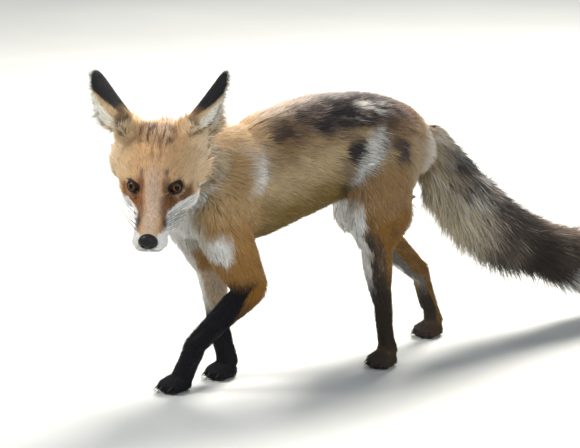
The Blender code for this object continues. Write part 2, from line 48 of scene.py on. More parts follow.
# ---- The view ----
# The animal is seen from ahead of its left side, a little above its back, through a long lens from
# about three metres, so that the lowered head comes towards the eye and the brush leaves the frame.
LENS = 150.95                    # millimetres, on a 36 mm wide film
view_data = bpy.data.cameras.new("view")
view_data.lens, view_data.sensor_width = LENS, 36.0
view_data.clip_start, view_data.clip_end = 0.1, 60.0
view = bpy.data.objects.new("view", view_data)
scene.collection.objects.link(view)
view.matrix_world = Matrix(((0.58779, -0.18199, 0.78829, 2.5123),
                            (0.80902, 0.13222, -0.57273, -2.0036),
                            (0.0, 0.97437, 0.22495, 0.9237),
                            (0.0, 0.0, 0.0, 1.0)))
scene.camera = view
scene.view_settings.view_transform = "Standard"
scene.view_settings.look = "None"


# ---- The studio ----
# A plain pale floor of painted board, with a large soft box ahead on the left, a weaker one on
# the right, and a strong one behind and above that lights the edge of the coat.
def connect(tree, node, inputs):
    """Gives a node's sockets their values: constants, or other nodes' outputs to link in."""
    for socket, value in inputs.items():
        if isinstance(value, bpy.types.NodeSocket):
            tree.links.new(value, node.inputs[socket])
        else:
            node.inputs[socket].default_value = value


def new_material(name, inputs):
    """A material with one Principled shader, its node tree and that shader."""
    made = bpy.data.materials.new(name)
    made.use_nodes = True
    shader = made.node_tree.nodes["Principled BSDF"]
    connect(made.node_tree, shader, inputs)
    return made, made.node_tree, shader


def add_node(tree, kind, inputs, **settings):
    """A shader node with its settings and inputs."""
    made = tree.nodes.new("ShaderNode" + kind)
    for setting, value in settings.items():
        setattr(made, setting, value)
    connect(tree, made, inputs)
    return made


def grain(tree, scale, detail=2.0):
    """A soft random pattern on the object's own coordinates, 0 to 1."""
    place = add_node(tree, "TexCoord", {}).outputs["Object"]
    return add_node(tree, "TexNoise", {"Vector": place, "Scale": scale, "Detail": detail}).outputs["Fac"]


def colour_stops(tree, share, stops):
    """The colour at a share from 0 to 1 along (position, colour) stops."""
    made = add_node(tree, "ValToRGB", {"Fac": share})
    elements = made.color_ramp.elements
    while len(elements) < len(stops):
        elements.new(0.5)
    for element, (position, tone) in zip(elements, stops):
        element.position, element.color = position, (*tone, 1)
    return made.outputs["Color"]


bpy.ops.object.select_all(action="DESELECT")
bpy.ops.mesh.primitive_grid_add(x_subdivisions=24, y_subdivisions=24, size=24.0, location=(0, 0, -0.0004))
floor = bpy.context.object
floor.name = "floor"
board, tree, shader = new_material("painted_board", {"Roughness": 0.62})
mottle = colour_stops(tree, grain(tree, 1.4, 3.0), ((0.3, (0.50, 0.51, 0.50)), (0.7, (0.56, 0.57, 0.56))))
connect(tree, shader, {"Base Color": mottle})
floor.data.materials.append(board)

world = bpy.data.worlds.new("room")
scene.world = world
world.use_nodes = True
background = world.node_tree.nodes["Background"]
connect(world.node_tree, background, {"Color": (0.86, 0.93, 1.0, 1), "Strength": 0.36})

SOFT_BOXES = (                   # (name, place, size, watts, colour)
    ("soft_box_ahead", (-1.1, -2.5, 2.8), 1.25, 101, (1.0, 0.97, 0.92)),
    ("soft_box_side", (3.2, -0.4, 1.9), 2.2, 54, (0.96, 0.98, 1.0)),
    ("soft_box_behind", (-1.3, 2.0, 2.9), 1.3, 250, (1.0, 0.95, 0.87)),
)
AIM = Vector((0.0, -0.05, 0.22))
for name, place, size, watts, tone in SOFT_BOXES:
    lamp = bpy.data.lights.new(name, "AREA")
    lamp.size, lamp.energy, lamp.color = size, watts, tone
    lamp_object = bpy.data.objects.new(name, lamp)
    scene.collection.objects.link(lamp_object)
    lamp_object.location = place
    lamp_object.rotation_euler = (AIM - Vector(place)).to_track_quat("-Z", "Y").to_euler()


# ---- The skin ----
# One hide over the whole animal, ears and all. It is cast from the frame's solids, which reach to
# the tips of the hair, and is drawn in by the depth of the coat, so that the hair fills the rest.
OWN_AXES = np.array((-0.015668, -0.179903, 0.0))     # from the animal's own axes to the frame's
HEAD_TURN, HEAD_DROP = math.radians(47), math.radians(36)
SKULL_BACK = Vector((0.003, -0.184, 0.328))
own_to_frame = Matrix.Translation(Vector(OWN_AXES))
head_frame = (own_to_frame @ Matrix.Translation(SKULL_BACK) @ Matrix.Rotation(HEAD_TURN, 4, "Z")
              @ Matrix.Rotation(HEAD_DROP, 4, "X"))
HEAD = np.array(head_frame)


def head_way(way):
    """A direction given in the head's axes (nose to -Y, crown to +Z), in the frame's."""
    return HEAD[:3, :3] @ np.asarray(way, float)


def from_head(point):
    """A point given in the head's axes, in the frame's."""
    return head_way(point) + HEAD[:3, 3]


def in_head(points):
    """Points of the frame in the head's axes."""
    return (points - HEAD[:3, 3]) @ HEAD[:3, :3]


def reach_of(vectors):
    """The length of each vector."""
    return np.linalg.norm(vectors, axis=-1)


def unit(vectors):
    """Vectors of length one."""
    return vectors / np.maximum(np.linalg.norm(vectors, axis=-1, keepdims=True), 1e-9)


def dot(first, second):
    """The product of two directions, for each pair."""
    return (first * second).sum(-1)


def ramp(value, low, high):
    """0 below low, 1 above high, and a smooth rise between; reversed where high is the lower."""
    share = np.clip((value - low) / (high - low), 0, 1)
    return share * share * (3 - 2 * share)


EAR_ROWS = np.array((            # (share of the length, half width, half angle of the cup, turn)
    (0.00, 0.0235, 112, 66), (0.15, 0.0270, 108, 72), (0.32, 0.0280, 98, 82), (0.50, 0.0258, 86, 94),
    (0.66, 0.0220, 74, 104), (0.80, 0.0175, 62, 113), (0.91, 0.0125, 54, 120), (1.00, 0.0060, 48, 124)))
EAR_SPLAY = {1: math.radians(26), -1: math.radians(29)}
EAR_LEAN = math.radians(6)
EAR_ROOT = Vector((0.041, -0.008, 0.035))
EAR_LENGTH, EAR_WALL = 0.088, 0.0030
EAR_SUNK = -0.06                 # the share of its length by which the gristle starts within the head
EAR_SET_BACK = 0.019             # how far the cup's root stands back from its axis


def ear_axes(sign):
    """The ear's root, its long direction, and the two directions across it: ahead and outward."""
    turn = Matrix.Rotation(HEAD_TURN, 3, "Z")
    ahead, side, up = turn @ Vector((0, -1, 0)), turn @ Vector((sign, 0, 0)), Vector((0, 0, 1))
    length = (up * math.cos(EAR_SPLAY[sign]) + side * math.sin(EAR_SPLAY[sign])) * math.cos(EAR_LEAN)
    length = (length - ahead * math.sin(EAR_LEAN)).normalized()
    flat_ahead = (ahead - length * ahead.dot(length)).normalized()
    flat_side = (side - length * side.dot(length) - flat_ahead * side.dot(flat_ahead)).normalized()
    root = head_frame @ Vector((sign * EAR_ROOT.x, EAR_ROOT.y, EAR_ROOT.z))
    return [np.array(v) for v in (root, length, flat_ahead, flat_side)]


def ear_row(sign, share):
    """At a share of the ear's length: its opening direction, width direction, centre, radius, angle."""
    root, length, ahead, side = ear_axes(sign)
    share = np.clip(np.atleast_1d(share), 0.0, 1.0)
    half, angle, turn = (np.interp(share, EAR_ROWS[:, 0], EAR_ROWS[:, k]) for k in (1, 2, 3))
    angle, turn = np.radians(angle), np.radians(turn)
    opening = ahead * np.cos(turn)[:, None] + side * np.sin(turn)[:, None]
    width = np.cross(length, opening)
    radius = half / np.sin(np.minimum(angle, math.pi / 2))
    centre = (root + length * (share * EAR_LENGTH)[:, None]
              - opening * (EAR_SET_BACK * (1 - share) ** 0.9)[:, None] + opening * radius[:, None])
    return opening, width, centre, radius, angle


def ear_place(points, sign):
    """Where points lie on an ear: share of its length, place across it (-1 to 1), and the radius."""
    root, length = ear_axes(sign)[:2]
    share = (points - root) @ length / EAR_LENGTH
    opening, width, centre, radius, angle = ear_row(sign, share)
    out = points - centre
    out = out - (out @ length)[:, None] * length
    across = np.arctan2(dot(out, width), -dot(out, opening)) / angle
    return share, across, reach_of(out) / radius


def on_ears(points):
    """How far each point belongs to an ear, 0 to 1, and which ear it is nearer to."""
    best, side = np.zeros(len(points)), np.ones(len(points))
    for sign in (1, -1):
        share, _, reach = ear_place(points, sign)
        mask = ramp(share, 0.04, 0.22) * (1 - ramp(np.abs(reach - 1), 0.25, 0.45)) * (share < 1.15)
        mask = np.where(share > 0.9, np.maximum(mask, ramp(share, 0.9, 0.95) * (reach < 2.2)), mask)
        side = np.where(mask > best, sign, side)
        best = np.maximum(best, mask)
    return best, side


def bridge(bm, loops):
    """Faces between each closed loop of points and the next."""
    for first, second in zip(loops, loops[1:]):
        for k in range(len(first)):
            j = (k + 1) % len(first)
            bm.faces.new((first[k], first[j], second[j], second[k]))


def ear_shell(sign, rows=26, columns=29):
    """The cupped gristle of one ear, a closed wall of even thickness."""
    bm = bmesh.new()
    loops = []
    for share in np.linspace(EAR_SUNK, 1.0, rows):
        opening, width, centre, radius, angle = (value[0] for value in ear_row(sign, max(share, 0)))
        centre = centre + ear_axes(sign)[1] * min(share, 0) * EAR_LENGTH
        outer, inner = [], []
        for k in range(columns):
            u = angle * (2 * k / (columns - 1) - 1)
            out = -opening * math.cos(u) + width * math.sin(u)
            outer.append(bm.verts.new(centre + out * radius))
            inner.append(bm.verts.new(centre + out * (radius - EAR_WALL)))
        loops.append(outer + inner[::-1])
    bridge(bm, loops)
    last = len(loops[0]) - 1
    for loop in (loops[0], loops[-1]):
        for k in range(columns - 1):
            bm.faces.new((loop[k], loop[k + 1], loop[last - 1 - k], loop[last - k]))
    bmesh.ops.recalc_face_normals(bm, faces=bm.faces)
    return bm


def new_object(name, mesh):
    """An object for a mesh, in the scene."""
    made = bpy.data.objects.new(name, mesh)
    scene.collection.objects.link(made)
    return made


def mesh_of(name, bm):
    """A mesh with what has been shaped."""
    mesh = bpy.data.meshes.new(name)
    bm.to_mesh(mesh)
    bm.free()
    return mesh


def choose(active, *others):
    """Selects some objects and nothing else; the first is the active one."""
    bpy.ops.object.select_all(action="DESELECT")
    for obj in (active, *others):
        obj.select_set(True)
    bpy.context.view_layer.objects.active = active


def apply_modifier(obj, kind, **values):
    """Adds a modifier and applies it, as by hand."""
    choose(obj)
    modifier = obj.modifiers.new(kind.lower(), kind)
    for key, value in values.items():
        setattr(modifier, key, value)
    bpy.ops.object.modifier_apply(modifier=modifier.name)


def points_of(obj):
    """An object's points and their normals as arrays."""
    points, normals = np.empty((2, len(obj.data.vertices) * 3), np.float32)
    obj.data.vertices.foreach_get("co", points)
    obj.data.vertex_normals.foreach_get("vector", normals)
    return points.reshape(-1, 3).astype(float), normals.reshape(-1, 3).astype(float)


def set_points(obj, points):
    """Moves an object's points."""
    obj.data.vertices.foreach_set("co", points.astype(np.float32).ravel())
    obj.data.update()


FLESH = [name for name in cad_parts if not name.startswith(("eye", "nose", "ear"))]
CUT_WIDTH = 0.0005               # closes the parting cuts between the frame's solids
EYE_SHRINK = 0.0006              # leaves the hide a little behind each eyeball
casts = []
for name in FLESH + ["eye_left", "eye_right"]:
    part = bmesh.new()
    part.from_mesh(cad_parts[name].data)
    bmesh.ops.remove_doubles(part, verts=part.verts, dist=1e-6)
    part.normal_update()
    for vert in part.verts:
        vert.co += vert.normal * (-EYE_SHRINK if name.startswith("eye") else CUT_WIDTH)
    casts.append(part)
hide = bmesh.new()
for part in (*casts, ear_shell(1), ear_shell(-1)):
    cast = mesh_of("cast", part)
    hide.from_mesh(cast)
    bpy.data.meshes.remove(cast)
skin = new_object("skin", mesh_of("skin", hide))
apply_modifier(skin, "REMESH", mode="VOXEL", voxel_size=0.0017)
apply_modifier(skin, "SMOOTH", factor=0.5, iterations=3)

# The table says how the coat grows along each length of the body: two ends in the animal's own
# axes (or the head's), the girth there, where the hair points, and in millimetres the depth of the
# coat and the length of the hair at both ends.
HEAD_COAT = (                    # (label, from, to, girth, direction, depths, lengths), head's axes
    ("muzzle", (0, -.158, -.004), (0, -.128, -.006), .017, (0, 1, .10), (0.5, 0.9), (2.6, 3.4)),
    ("muzzle", (0, -.128, -.006), (0, -.098, -.004), .024, (0, 1, .15), (0.9, 1.6), (3.6, 5.0)),
    ("face", (0, -.098, .000), (0, -.062, .004), .036, (0, 1, .25), (1.6, 2.6), (5.0, 8.0)),
    ("face", (0, -.062, .010), (0, -.030, .014), .042, (0, 1, .20), (2.8, 4.0), (8.5, 11)),
    ("crown", (0, -.030, .014), (0, .012, .012), .046, (0, 1, -.05), (4.0, 6.0), (11, 15)),
    ("cheek", (.034, -.066, -.014), (.044, -.038, -.014), .012, (.20, 1, -.16), (3.5, 6.0), (9, 15)),
    ("cheek", (.044, -.038, -.010), (.048, -.008, -.004), .012, (.25, 1, -.05), (6.5, 9.5), (15, 20)),
    ("cheek", (-.034, -.066, -.014), (-.044, -.038, -.014), .012, (-.20, 1, -.16), (3.5, 6.0), (9, 15)),
    ("cheek", (-.044, -.038, -.010), (-.048, -.008, -.004), .012, (-.25, 1, -.05), (6.5, 9.5), (15, 20)),
    ("throat", (0, -.120, -.022), (0, -.075, -.030), .010, (0, 1, -.20), (1.2, 3.5), (4, 8)),
    ("throat", (0, -.075, -.030), (0, -.010, -.038), .016, (0, 1, -.35), (3.5, 8.0), (9, 18)),
)
BODY_COAT = (
    ("neck", (.010, -.178, .316), (-.004, -.130, .296), .042, (0, .85, -.50), (8, 9), (20, 23)),
    ("neck", (-.004, -.130, .296), (-.010, -.070, .290), .046, (0, .90, -.40), (9, 8), (23, 22)),
    ("chest", (-.012, -.152, .262), (-.012, -.140, .225), .034, (0, .15, -1.0), (9, 8), (22, 20)),
    ("chest", (-.012, -.120, .262), (-.010, -.050, .270), .050, (0, .80, -.60), (8, 8), (20, 19)),
    ("loins", (-.010, -.050, .272), (.006, .060, .300), .054, (0, 1.0, -.32), (8, 8), (19, 20)),
    ("loins", (.006, .060, .300), (.010, .120, .304), .052, (0, 1.0, -.36), (8, 8), (20, 20)),
    ("belly", (-.006, -.060, .212), (.006, .110, .252), .022, (0, 1.0, -.22), (6, 7), (15, 18)),
    ("rump", (.010, .130, .304), (.012, .195, .298), .048, (0, 1.0, -.50), (8, 8), (20, 20)),
    ("rump", (.012, .195, .298), (.013, .232, .270), .030, (0, .60, -.90), (8, 9), (20, 24)),
    ("shoulder", (.034, -.118, .245), (.042, -.086, .160), .026, (0, .36, -.95), (6, 3.6), (17, 11)),
    ("shoulder", (-.054, -.119, .245), (-.048, -.086, .170), .026, (0, .36, -.95), (6, 3.6), (17, 11)),
    ("fore_leg", (.042, -.082, .142), (.006, -.137, .069), .015, (-.48, -.62, -.80), (2.8, 1.6), (9, 6)),
    ("fore_leg", (.004, -.140, .066), (-.013, -.149, .022), .012, (-.33, -.2, -.95), (1.5, 1.2), (5.5, 4.5)),
    ("fore_paw", (-.014, -.152, .014), (-.018, -.178, .010), .012, (-.1, -1, -.25), (1.1, 0.9), (4.2, 3.4)),
    ("fore_leg", (-.047, -.083, .155), (-.034, -.079, .070), .015, (.1, .10, -1.0), (2.8, 1.6), (9, 6)),
    ("fore_leg", (-.034, -.078, .068), (-.030, -.068, .022), .012, (.05, .05, -1), (1.5, 1.2), (5.5, 4.5)),
    ("fore_paw", (-.030, -.068, .014), (-.032, -.095, .010), .012, (-.05, -1, -.25), (1.1, 0.9), (4.2, 3.4)),
    ("thigh", (.036, .150, .285), (.050, .106, .212), .036, (.05, .28, -1.0), (7, 5), (18, 14)),
    ("thigh", (-.014, .160, .280), (-.040, .148, .195), .036, (-.05, .28, -1.0), (7, 5), (18, 14)),
    ("shank", (.052, .104, .205), (.046, .131, .104), .020, (0, .30, -1.0), (4.4, 2.0), (13, 7)),
    ("shank", (-.042, .150, .188), (-.031, .252, .104), .020, (.1, .72, -.80), (4.4, 2.0), (13, 7)),
    ("hock", (.046, .132, .098), (.052, .140, .024), .011, (.05, .06, -1.0), (1.8, 1.3), (6, 4.6)),
    ("hock", (-.031, .256, .098), (-.029, .284, .024), .011, (0, .25, -1.0), (1.8, 1.3), (6, 4.6)),
    ("hind_paw", (.052, .136, .014), (.055, .108, .010), .012, (.08, -1, -.25), (1.1, 0.9), (4.2, 3.4)),
    ("hind_paw", (-.029, .282, .014), (-.029, .254, .010), .012, (0, -1, -.25), (1.1, 0.9), (4.2, 3.4)),
    ("brush", (.012, .215, .300), (.015, .268, .249), .024, (0, .66, -.75), (10, 17), (26, 36)),
    ("brush", (.015, .268, .249), (.018, .310, .203), .038, (0, .68, -.73), (17, 23), (36, 44)),
    ("brush", (.018, .310, .203), (.021, .360, .161), .040, (0, .77, -.64), (23, 24), (44, 46)),
    ("brush", (.021, .360, .161), (.024, .415, .129), .039, (0, .86, -.50), (24, 24), (46, 46)),
    ("brush_end", (.024, .415, .129), (.026, .470, .103), .041, (0, .90, -.43), (24, 25), (46, 47)),
    ("brush_end", (.026, .470, .103), (.027, .525, .082), .043, (0, .93, -.36), (25, 25), (47, 47)),
    ("brush_end", (.027, .525, .082), (.026, .575, .067), .041, (0, .96, -.28), (25, 22), (47, 44)),
    ("brush_end", (.026, .575, .067), (.022, .622, .058), .030, (0, .98, -.18), (22, 12), (42, 24)),
)
coat_rows = [(from_head(start), from_head(end), girth, head_way(lie), *rest)
             for _, start, end, girth, lie, *rest in HEAD_COAT]
coat_rows += [(np.array(start) + OWN_AXES, np.array(end) + OWN_AXES, girth, np.array(lie, float), *rest)
              for _, start, end, girth, lie, *rest in BODY_COAT]
COAT_LABELS = [row[0] for row in HEAD_COAT + BODY_COAT]
NEAR = 0.007                     # how gently one length of the coat passes into the next


def coat_at(points):
    """For each point: shares of the rows, hair direction, depth and length of the coat (metres)."""
    shares, alongs = np.empty((len(points), len(coat_rows))), []
    for k, (start, end, girth, *_) in enumerate(coat_rows):
        span = end - start
        along = np.clip(((points - start) @ span) / (span @ span), 0, 1)
        gap = reach_of(points - start - along[:, None] * span) - girth
        shares[:, k] = 1 / (np.maximum(gap, 0) + NEAR) ** 4
        alongs.append(along)
    shares /= shares.sum(1, keepdims=True)
    lie = np.zeros((len(points), 3))
    depth, length = np.zeros(len(points)), np.zeros(len(points))
    for share, along, (*_, way, depths, lengths) in zip(shares.T, alongs, coat_rows):
        lie += share[:, None] * unit(way)
        depth += share * (depths[0] + (depths[1] - depths[0]) * along) / 1000
        length += share * (lengths[0] + (lengths[1] - lengths[0]) * along) / 1000
    return shares, lie, depth, length


def share_of(shares, *labels):
    """The summed shares of the rows of the coat that have those labels."""
    return sum(shares[:, k] for k, label in enumerate(COAT_LABELS) if label in labels)


def gap_to(points, centre, reach):
    """How far points lie from a centre, 1 at its reach (metres along each axis)."""
    return reach_of((points - np.array(centre)) / np.array(reach))


DEEP_COAT = (((-.041, .132, .172), (.020, .034, .034), .0070),      # (centre, reach, extra depth)
             ((.064, .182, .232), (.020, .018, .024), .0040))
DEEP_CHEEK = ((.060, -.026, -.002), (.022, .040, .034), .0080)      # the same, in the head's axes
BARE_EAR = 0.0007                # the depth of the coat on the ears
points, normals = points_of(skin)
depth = coat_at(points)[2]
ear_share = on_ears(points)[0]
depth = depth * (1 - ear_share) + BARE_EAR * ear_share
for centre, reach, extra in DEEP_COAT:
    depth = depth + extra * (1 - ramp(gap_to(points - OWN_AXES, centre, reach), .2, 1.0))
centre, reach, extra = DEEP_CHEEK
depth = depth + extra * (1 - ramp(gap_to(in_head(points), centre, reach), .3, 1.1)) * (1 - ear_share)
set_points(skin, points - normals * (depth + CUT_WIDTH)[:, None])
apply_modifier(skin, "SMOOTH", factor=0.5, iterations=4)

EYE_RADIUS = 0.0098
EYE_PLACE = (0.0245, -0.0785, 0.0158)                # the left eye, in the head's axes
EYE_SLANT = math.radians(13)


def eye_axes(sign):
    """The centre of an eyeball, and its directions: out of the head, to its outer corner, and up."""
    centre = from_head((sign * EYE_PLACE[0], *EYE_PLACE[1:]))
    out = unit(head_way((sign * 0.46, -0.74, 0.50)))
    up = head_way((0, 0.20, 1.0))
    up = unit(up - out * (up @ out))
    corner = unit(np.cross(up, out) * sign)
    cos, sin = math.cos(EYE_SLANT), math.sin(EYE_SLANT)
    return centre, out, corner * cos + up * sin, up * cos - corner * sin


# The hide passes behind the bare front of each eyeball, and banks up round it.
points, normals = points_of(skin)
for sign in (1, -1):
    centre, out, corner, up = eye_axes(sign)
    away = points - centre
    gap = reach_of(away)
    turn = np.degrees(np.arccos(np.clip((away @ out) / np.maximum(gap, 1e-9), -1, 1)))
    aslant = np.arctan2(away @ up, away @ corner)
    turn = turn * np.where(turn < 80, np.hypot(np.cos(aslant) / 1.20, np.sin(aslant) / .86), 1)
    floor_reach = EYE_RADIUS - .0006 + .0050 * ramp(turn, 48, 62)
    behind = np.where((turn < 62) & (gap < .0150), np.minimum(gap, floor_reach), gap)
    banked = (EYE_RADIUS + .0012 - .0030 * ramp(turn, 84, 112)) * ramp(turn, 50, 60)
    rim = (turn > 56) & (turn < 112) & (gap > .0060)
    raised = np.where(rim, np.maximum(behind, banked), behind)
    points = centre + away * (raised / np.maximum(gap, 1e-9))[:, None]

# The mouth is a shut line from under the nose to below the eyes, with the upper lip over it.
MOUTH = np.array(((-.158, -.0125), (-.150, -.0150), (-.135, -.0160), (-.118, -.0178),
                  (-.100, -.0205), (-.088, -.0225)))
x, y, z = in_head(points).T
line = np.interp(y, MOUTH[:, 0], MOUTH[:, 1])
on_snout = ramp(y, -.084, -.092) * (y > -.165) * (z > -.04)
crease = np.exp(-((z - line) / 0.0011) ** 2) * on_snout
under = ramp(line - z, -0.0002, 0.0012) * on_snout
inward = -np.sign(x) * (0.0012 * crease + 0.0014 * under) * ramp(np.abs(x), 0, .004)
pull = np.stack([inward, 0.0014 * crease * ramp(y, -.140, -.152), 0 * line], 1)
points = points + pull @ HEAD[:3, :3].T
set_points(skin, points)


def add_steps(group, value, edges, weights, mode="REPLACE"):
    """Gives the points of a vertex group a weight for each step that their value falls in."""
    for low, high, weight in zip(edges, edges[1:], weights):
        group.add(np.nonzero((value >= low) & (value < high))[0].tolist(), weight, mode)


TENTHS = [1 - step / 10 for step in range(10)]
folds = skin.vertex_groups.new(name="folds")       # where limbs, brush and ears meet the body
fold = gap_to(points - OWN_AXES, (.006, .190, .230), (.090, .046, .050))
add_steps(folds, fold, [0] + [.05 + step / 11 for step in range(2, 12)], TENTHS)
for sign in (1, -1):
    add_steps(folds, gap_to(in_head(points), (sign * .046, -.020, .060), .018), (0, .6, 1), (.35, .15), "ADD")
apply_modifier(skin, "SMOOTH", factor=0.8, iterations=60, vertex_group="folds")

# Away from face, ears and feet the hide keeps fewer faces.
points = points_of(skin)[0]
detailed = share_of(coat_at(points)[0], "muzzle", "face", "throat", "fore_paw", "hind_paw")
plain = skin.vertex_groups.new(name="plain")
add_steps(plain, np.maximum(detailed, on_ears(points)[0]), [step / 10 for step in range(10)] + [2], TENTHS)
apply_modifier(skin, "TRIANGULATE")
apply_modifier(skin, "DECIMATE", ratio=0.39, vertex_group="plain", vertex_group_factor=1.0)
skin.vertex_groups.clear()
choose(skin)
bpy.ops.object.shade_smooth()


def almond(sign, grow, radius, count=48):
    """A closed line round the opening between the lids, grown outward, on a ball of that radius."""
    centre, out, corner, up = eye_axes(sign)
    line = []
    for k in range(count):
        turn = 2 * math.pi * k / count
        cos, sin = math.cos(turn), math.sin(turn)
        flat = np.array(((0.0096 if cos > 0 else 0.0106) * cos,
                         (0.0053 if sin > 0 else 0.0047) * math.copysign(abs(sin) ** 1.25, sin)))
        if cos < 0:
            flat[1] -= 0.0010 * cos ** 2
        reach = reach_of(flat)
        flat = flat * (reach + grow) / reach
        reach += grow
        bend = reach / EYE_RADIUS
        sideways = (corner * flat[0] + up * flat[1]) / reach
        line.append(centre + radius * (out * math.cos(bend) + sideways * math.sin(bend)))
    return line


# Each pair of lids is one dark-edged rim that laps over the ball and passes under the hide.
LID_RINGS = (                    # (how far out from the opening, radius from the ball's centre)
    (-0.0002, 0.0088), (-0.0002, 0.0100), (0.0001, 0.0103), (0.0007, 0.0105),
    (0.0016, 0.0106), (0.0028, 0.0106), (0.0042, 0.0102), (0.0056, 0.0092))
for sign, name in ((1, "left_lids"), (-1, "right_lids")):
    bm = bmesh.new()
    loops = [[bm.verts.new(point) for point in almond(sign, grow, radius)] for grow, radius in LID_RINGS]
    bridge(bm, loops + loops[:1])
    bmesh.ops.recalc_face_normals(bm, faces=bm.faces)
    bmesh.ops.triangulate(bm, faces=bm.faces)
    for face in bm.faces:
        face.smooth = True
    choose(skin, new_object(name, mesh_of(name, bm)))
    bpy.ops.object.join()

# ---- The markings ----
# The colours of the summer coat: tan and rust on the head, buff flanks under a charcoal saddle,
# orange legs with black stockings, and white lips, throat, thigh edges and brush tip.
TAN, BUFF, WHITE = (.58, .375, .21), (.44, .35, .235), (.78, .77, .74)
RUST, TAWNY, OCHRE = np.array((.180, .074, .028)), (.200, .130, .074), (.155, .102, .036)
CHARCOAL, BROWN, BLACK = (.026, .023, .025), (.11, .062, .032), (.007, .007, .009)
BACK_LINE = np.array((           # (y, height of the back, height of the belly), the animal's own axes
    (-.160, .282, .232), (-.150, .305, .208), (-.125, .332, .192), (-.090, .346, .187),
    (-.050, .348, .190), (-.005, .364, .203), (.045, .376, .219), (.100, .375, .236),
    (.150, .364, .238), (.190, .345, .240), (.220, .322, .252), (.234, .306, .272)))
BRUSH_LINE = OWN_AXES + np.array((
    (.012, .205, .306), (.013, .235, .287), (.015, .268, .249), (.018, .310, .203), (.021, .360, .161),
    (.024, .415, .129), (.026, .470, .103), (.027, .525, .082), (.026, .575, .067), (.024, .615, .060),
    (.022, .640, .058)))


def lattice(cells, seed):
    """A fixed random number from 0 to 1 for each whole-number cell."""
    x, y, z = cells[..., 0], cells[..., 1], cells[..., 2]
    value = (x * 73856093) ^ (y * 19349663) ^ (z * 83492791) ^ (seed * 2654435761)
    value = (value ^ (value >> 13)) * 1274126177 & 0xFFFFFFFF
    value = (value ^ (value >> 16)) * 668265263 & 0xFFFFFFFF
    return ((value ^ (value >> 15)) & 0xFFFFFF) / 0xFFFFFF


def cloud(points, size, seed):
    """Smooth random numbers from -1 to 1 that change over that size (metres)."""
    spot = points / np.asarray(size)
    cell = np.floor(spot).astype(np.int64)
    part = spot - cell
    part = part * part * (3 - 2 * part)
    total = np.zeros(len(points))
    for corner in itertools.product((0, 1), repeat=3):
        x, y, z = (part[:, k] if corner[k] else 1 - part[:, k] for k in range(3))
        total += x * y * z * lattice(cell + corner, seed)
    return total * 2 - 1


def painted(colours, *layers):
    """Lays tones over the colours, one after another, each where its mask says."""
    for tone, mask in layers:
        mask = np.clip(mask, 0, 1)[:, None]
        colours = colours * (1 - mask) + np.array(tone) * mask
    return colours


def even(tone, count):
    """The same tone at every place."""
    return np.tile(np.array(tone), (count, 1))


def patch(points, centre, reach, ragged=0.0):
    """A soft-edged spot: 1 at its middle, 0 past its reach (metres along each axis)."""
    return 1 - ramp(gap_to(points, centre, reach) + ragged, 0.55, 1.15)


def along_line(points, start, end):
    """How far each point is along a line from its start to its end, 0 to 1, and its gap from it."""
    span = end - start
    along = np.clip(((points - start) @ span) / (span @ span), 0, 1)
    return along, reach_of(points - start - along[:, None] * span)


def brush_share(points):
    """How far along the brush each point lies, 0 to 1."""
    steps = reach_of(np.diff(BRUSH_LINE, axis=0))
    reached = np.concatenate(([0], np.cumsum(steps))) / steps.sum()
    best, share = np.full(len(points), 1e9), np.zeros(len(points))
    for k in range(len(steps)):
        along, gap = along_line(points, BRUSH_LINE[k], BRUSH_LINE[k + 1])
        share = np.where(gap < best, reached[k] + along * (reached[k + 1] - reached[k]), share)
        best = np.minimum(best, gap)
    return share


def eye_gaps(points, sign):
    """How far points lie from an eyeball's centre, from its axis (more so up and down), and ahead."""
    centre, out, corner, up = eye_axes(sign)
    away = points - centre
    return reach_of(away), reach_of(np.stack([away @ corner, (away @ up) * 1.35], 1)), away @ out


def places(points, normals):
    """What the markings ask of each place on the coat."""
    at = SimpleNamespace(points=points, normals=normals, own=points - OWN_AXES)
    at.x, at.y, at.z = at.own.T
    shares = coat_at(points)[0]
    at.part = {label: share_of(shares, label) for label in dict.fromkeys(COAT_LABELS)}
    at.rough = cloud(points, 0.016, 3) * 0.5 + cloud(points, 0.006, 4) * 0.35
    at.fine = cloud(points, 0.003, 5)
    at.side = np.sign(at.x + 1e-9)
    at.out = np.abs(at.x - np.interp(at.y, (-.16, .05, .23), (-.012, .002, .012)))
    at.from_side = np.stack([at.out, at.y, at.z], 1)
    back, belly = (np.interp(at.y, BACK_LINE[:, 0], BACK_LINE[:, k]) for k in (1, 2))
    at.high = (at.z - belly) / (back - belly)
    at.head_points = in_head(points)
    return at


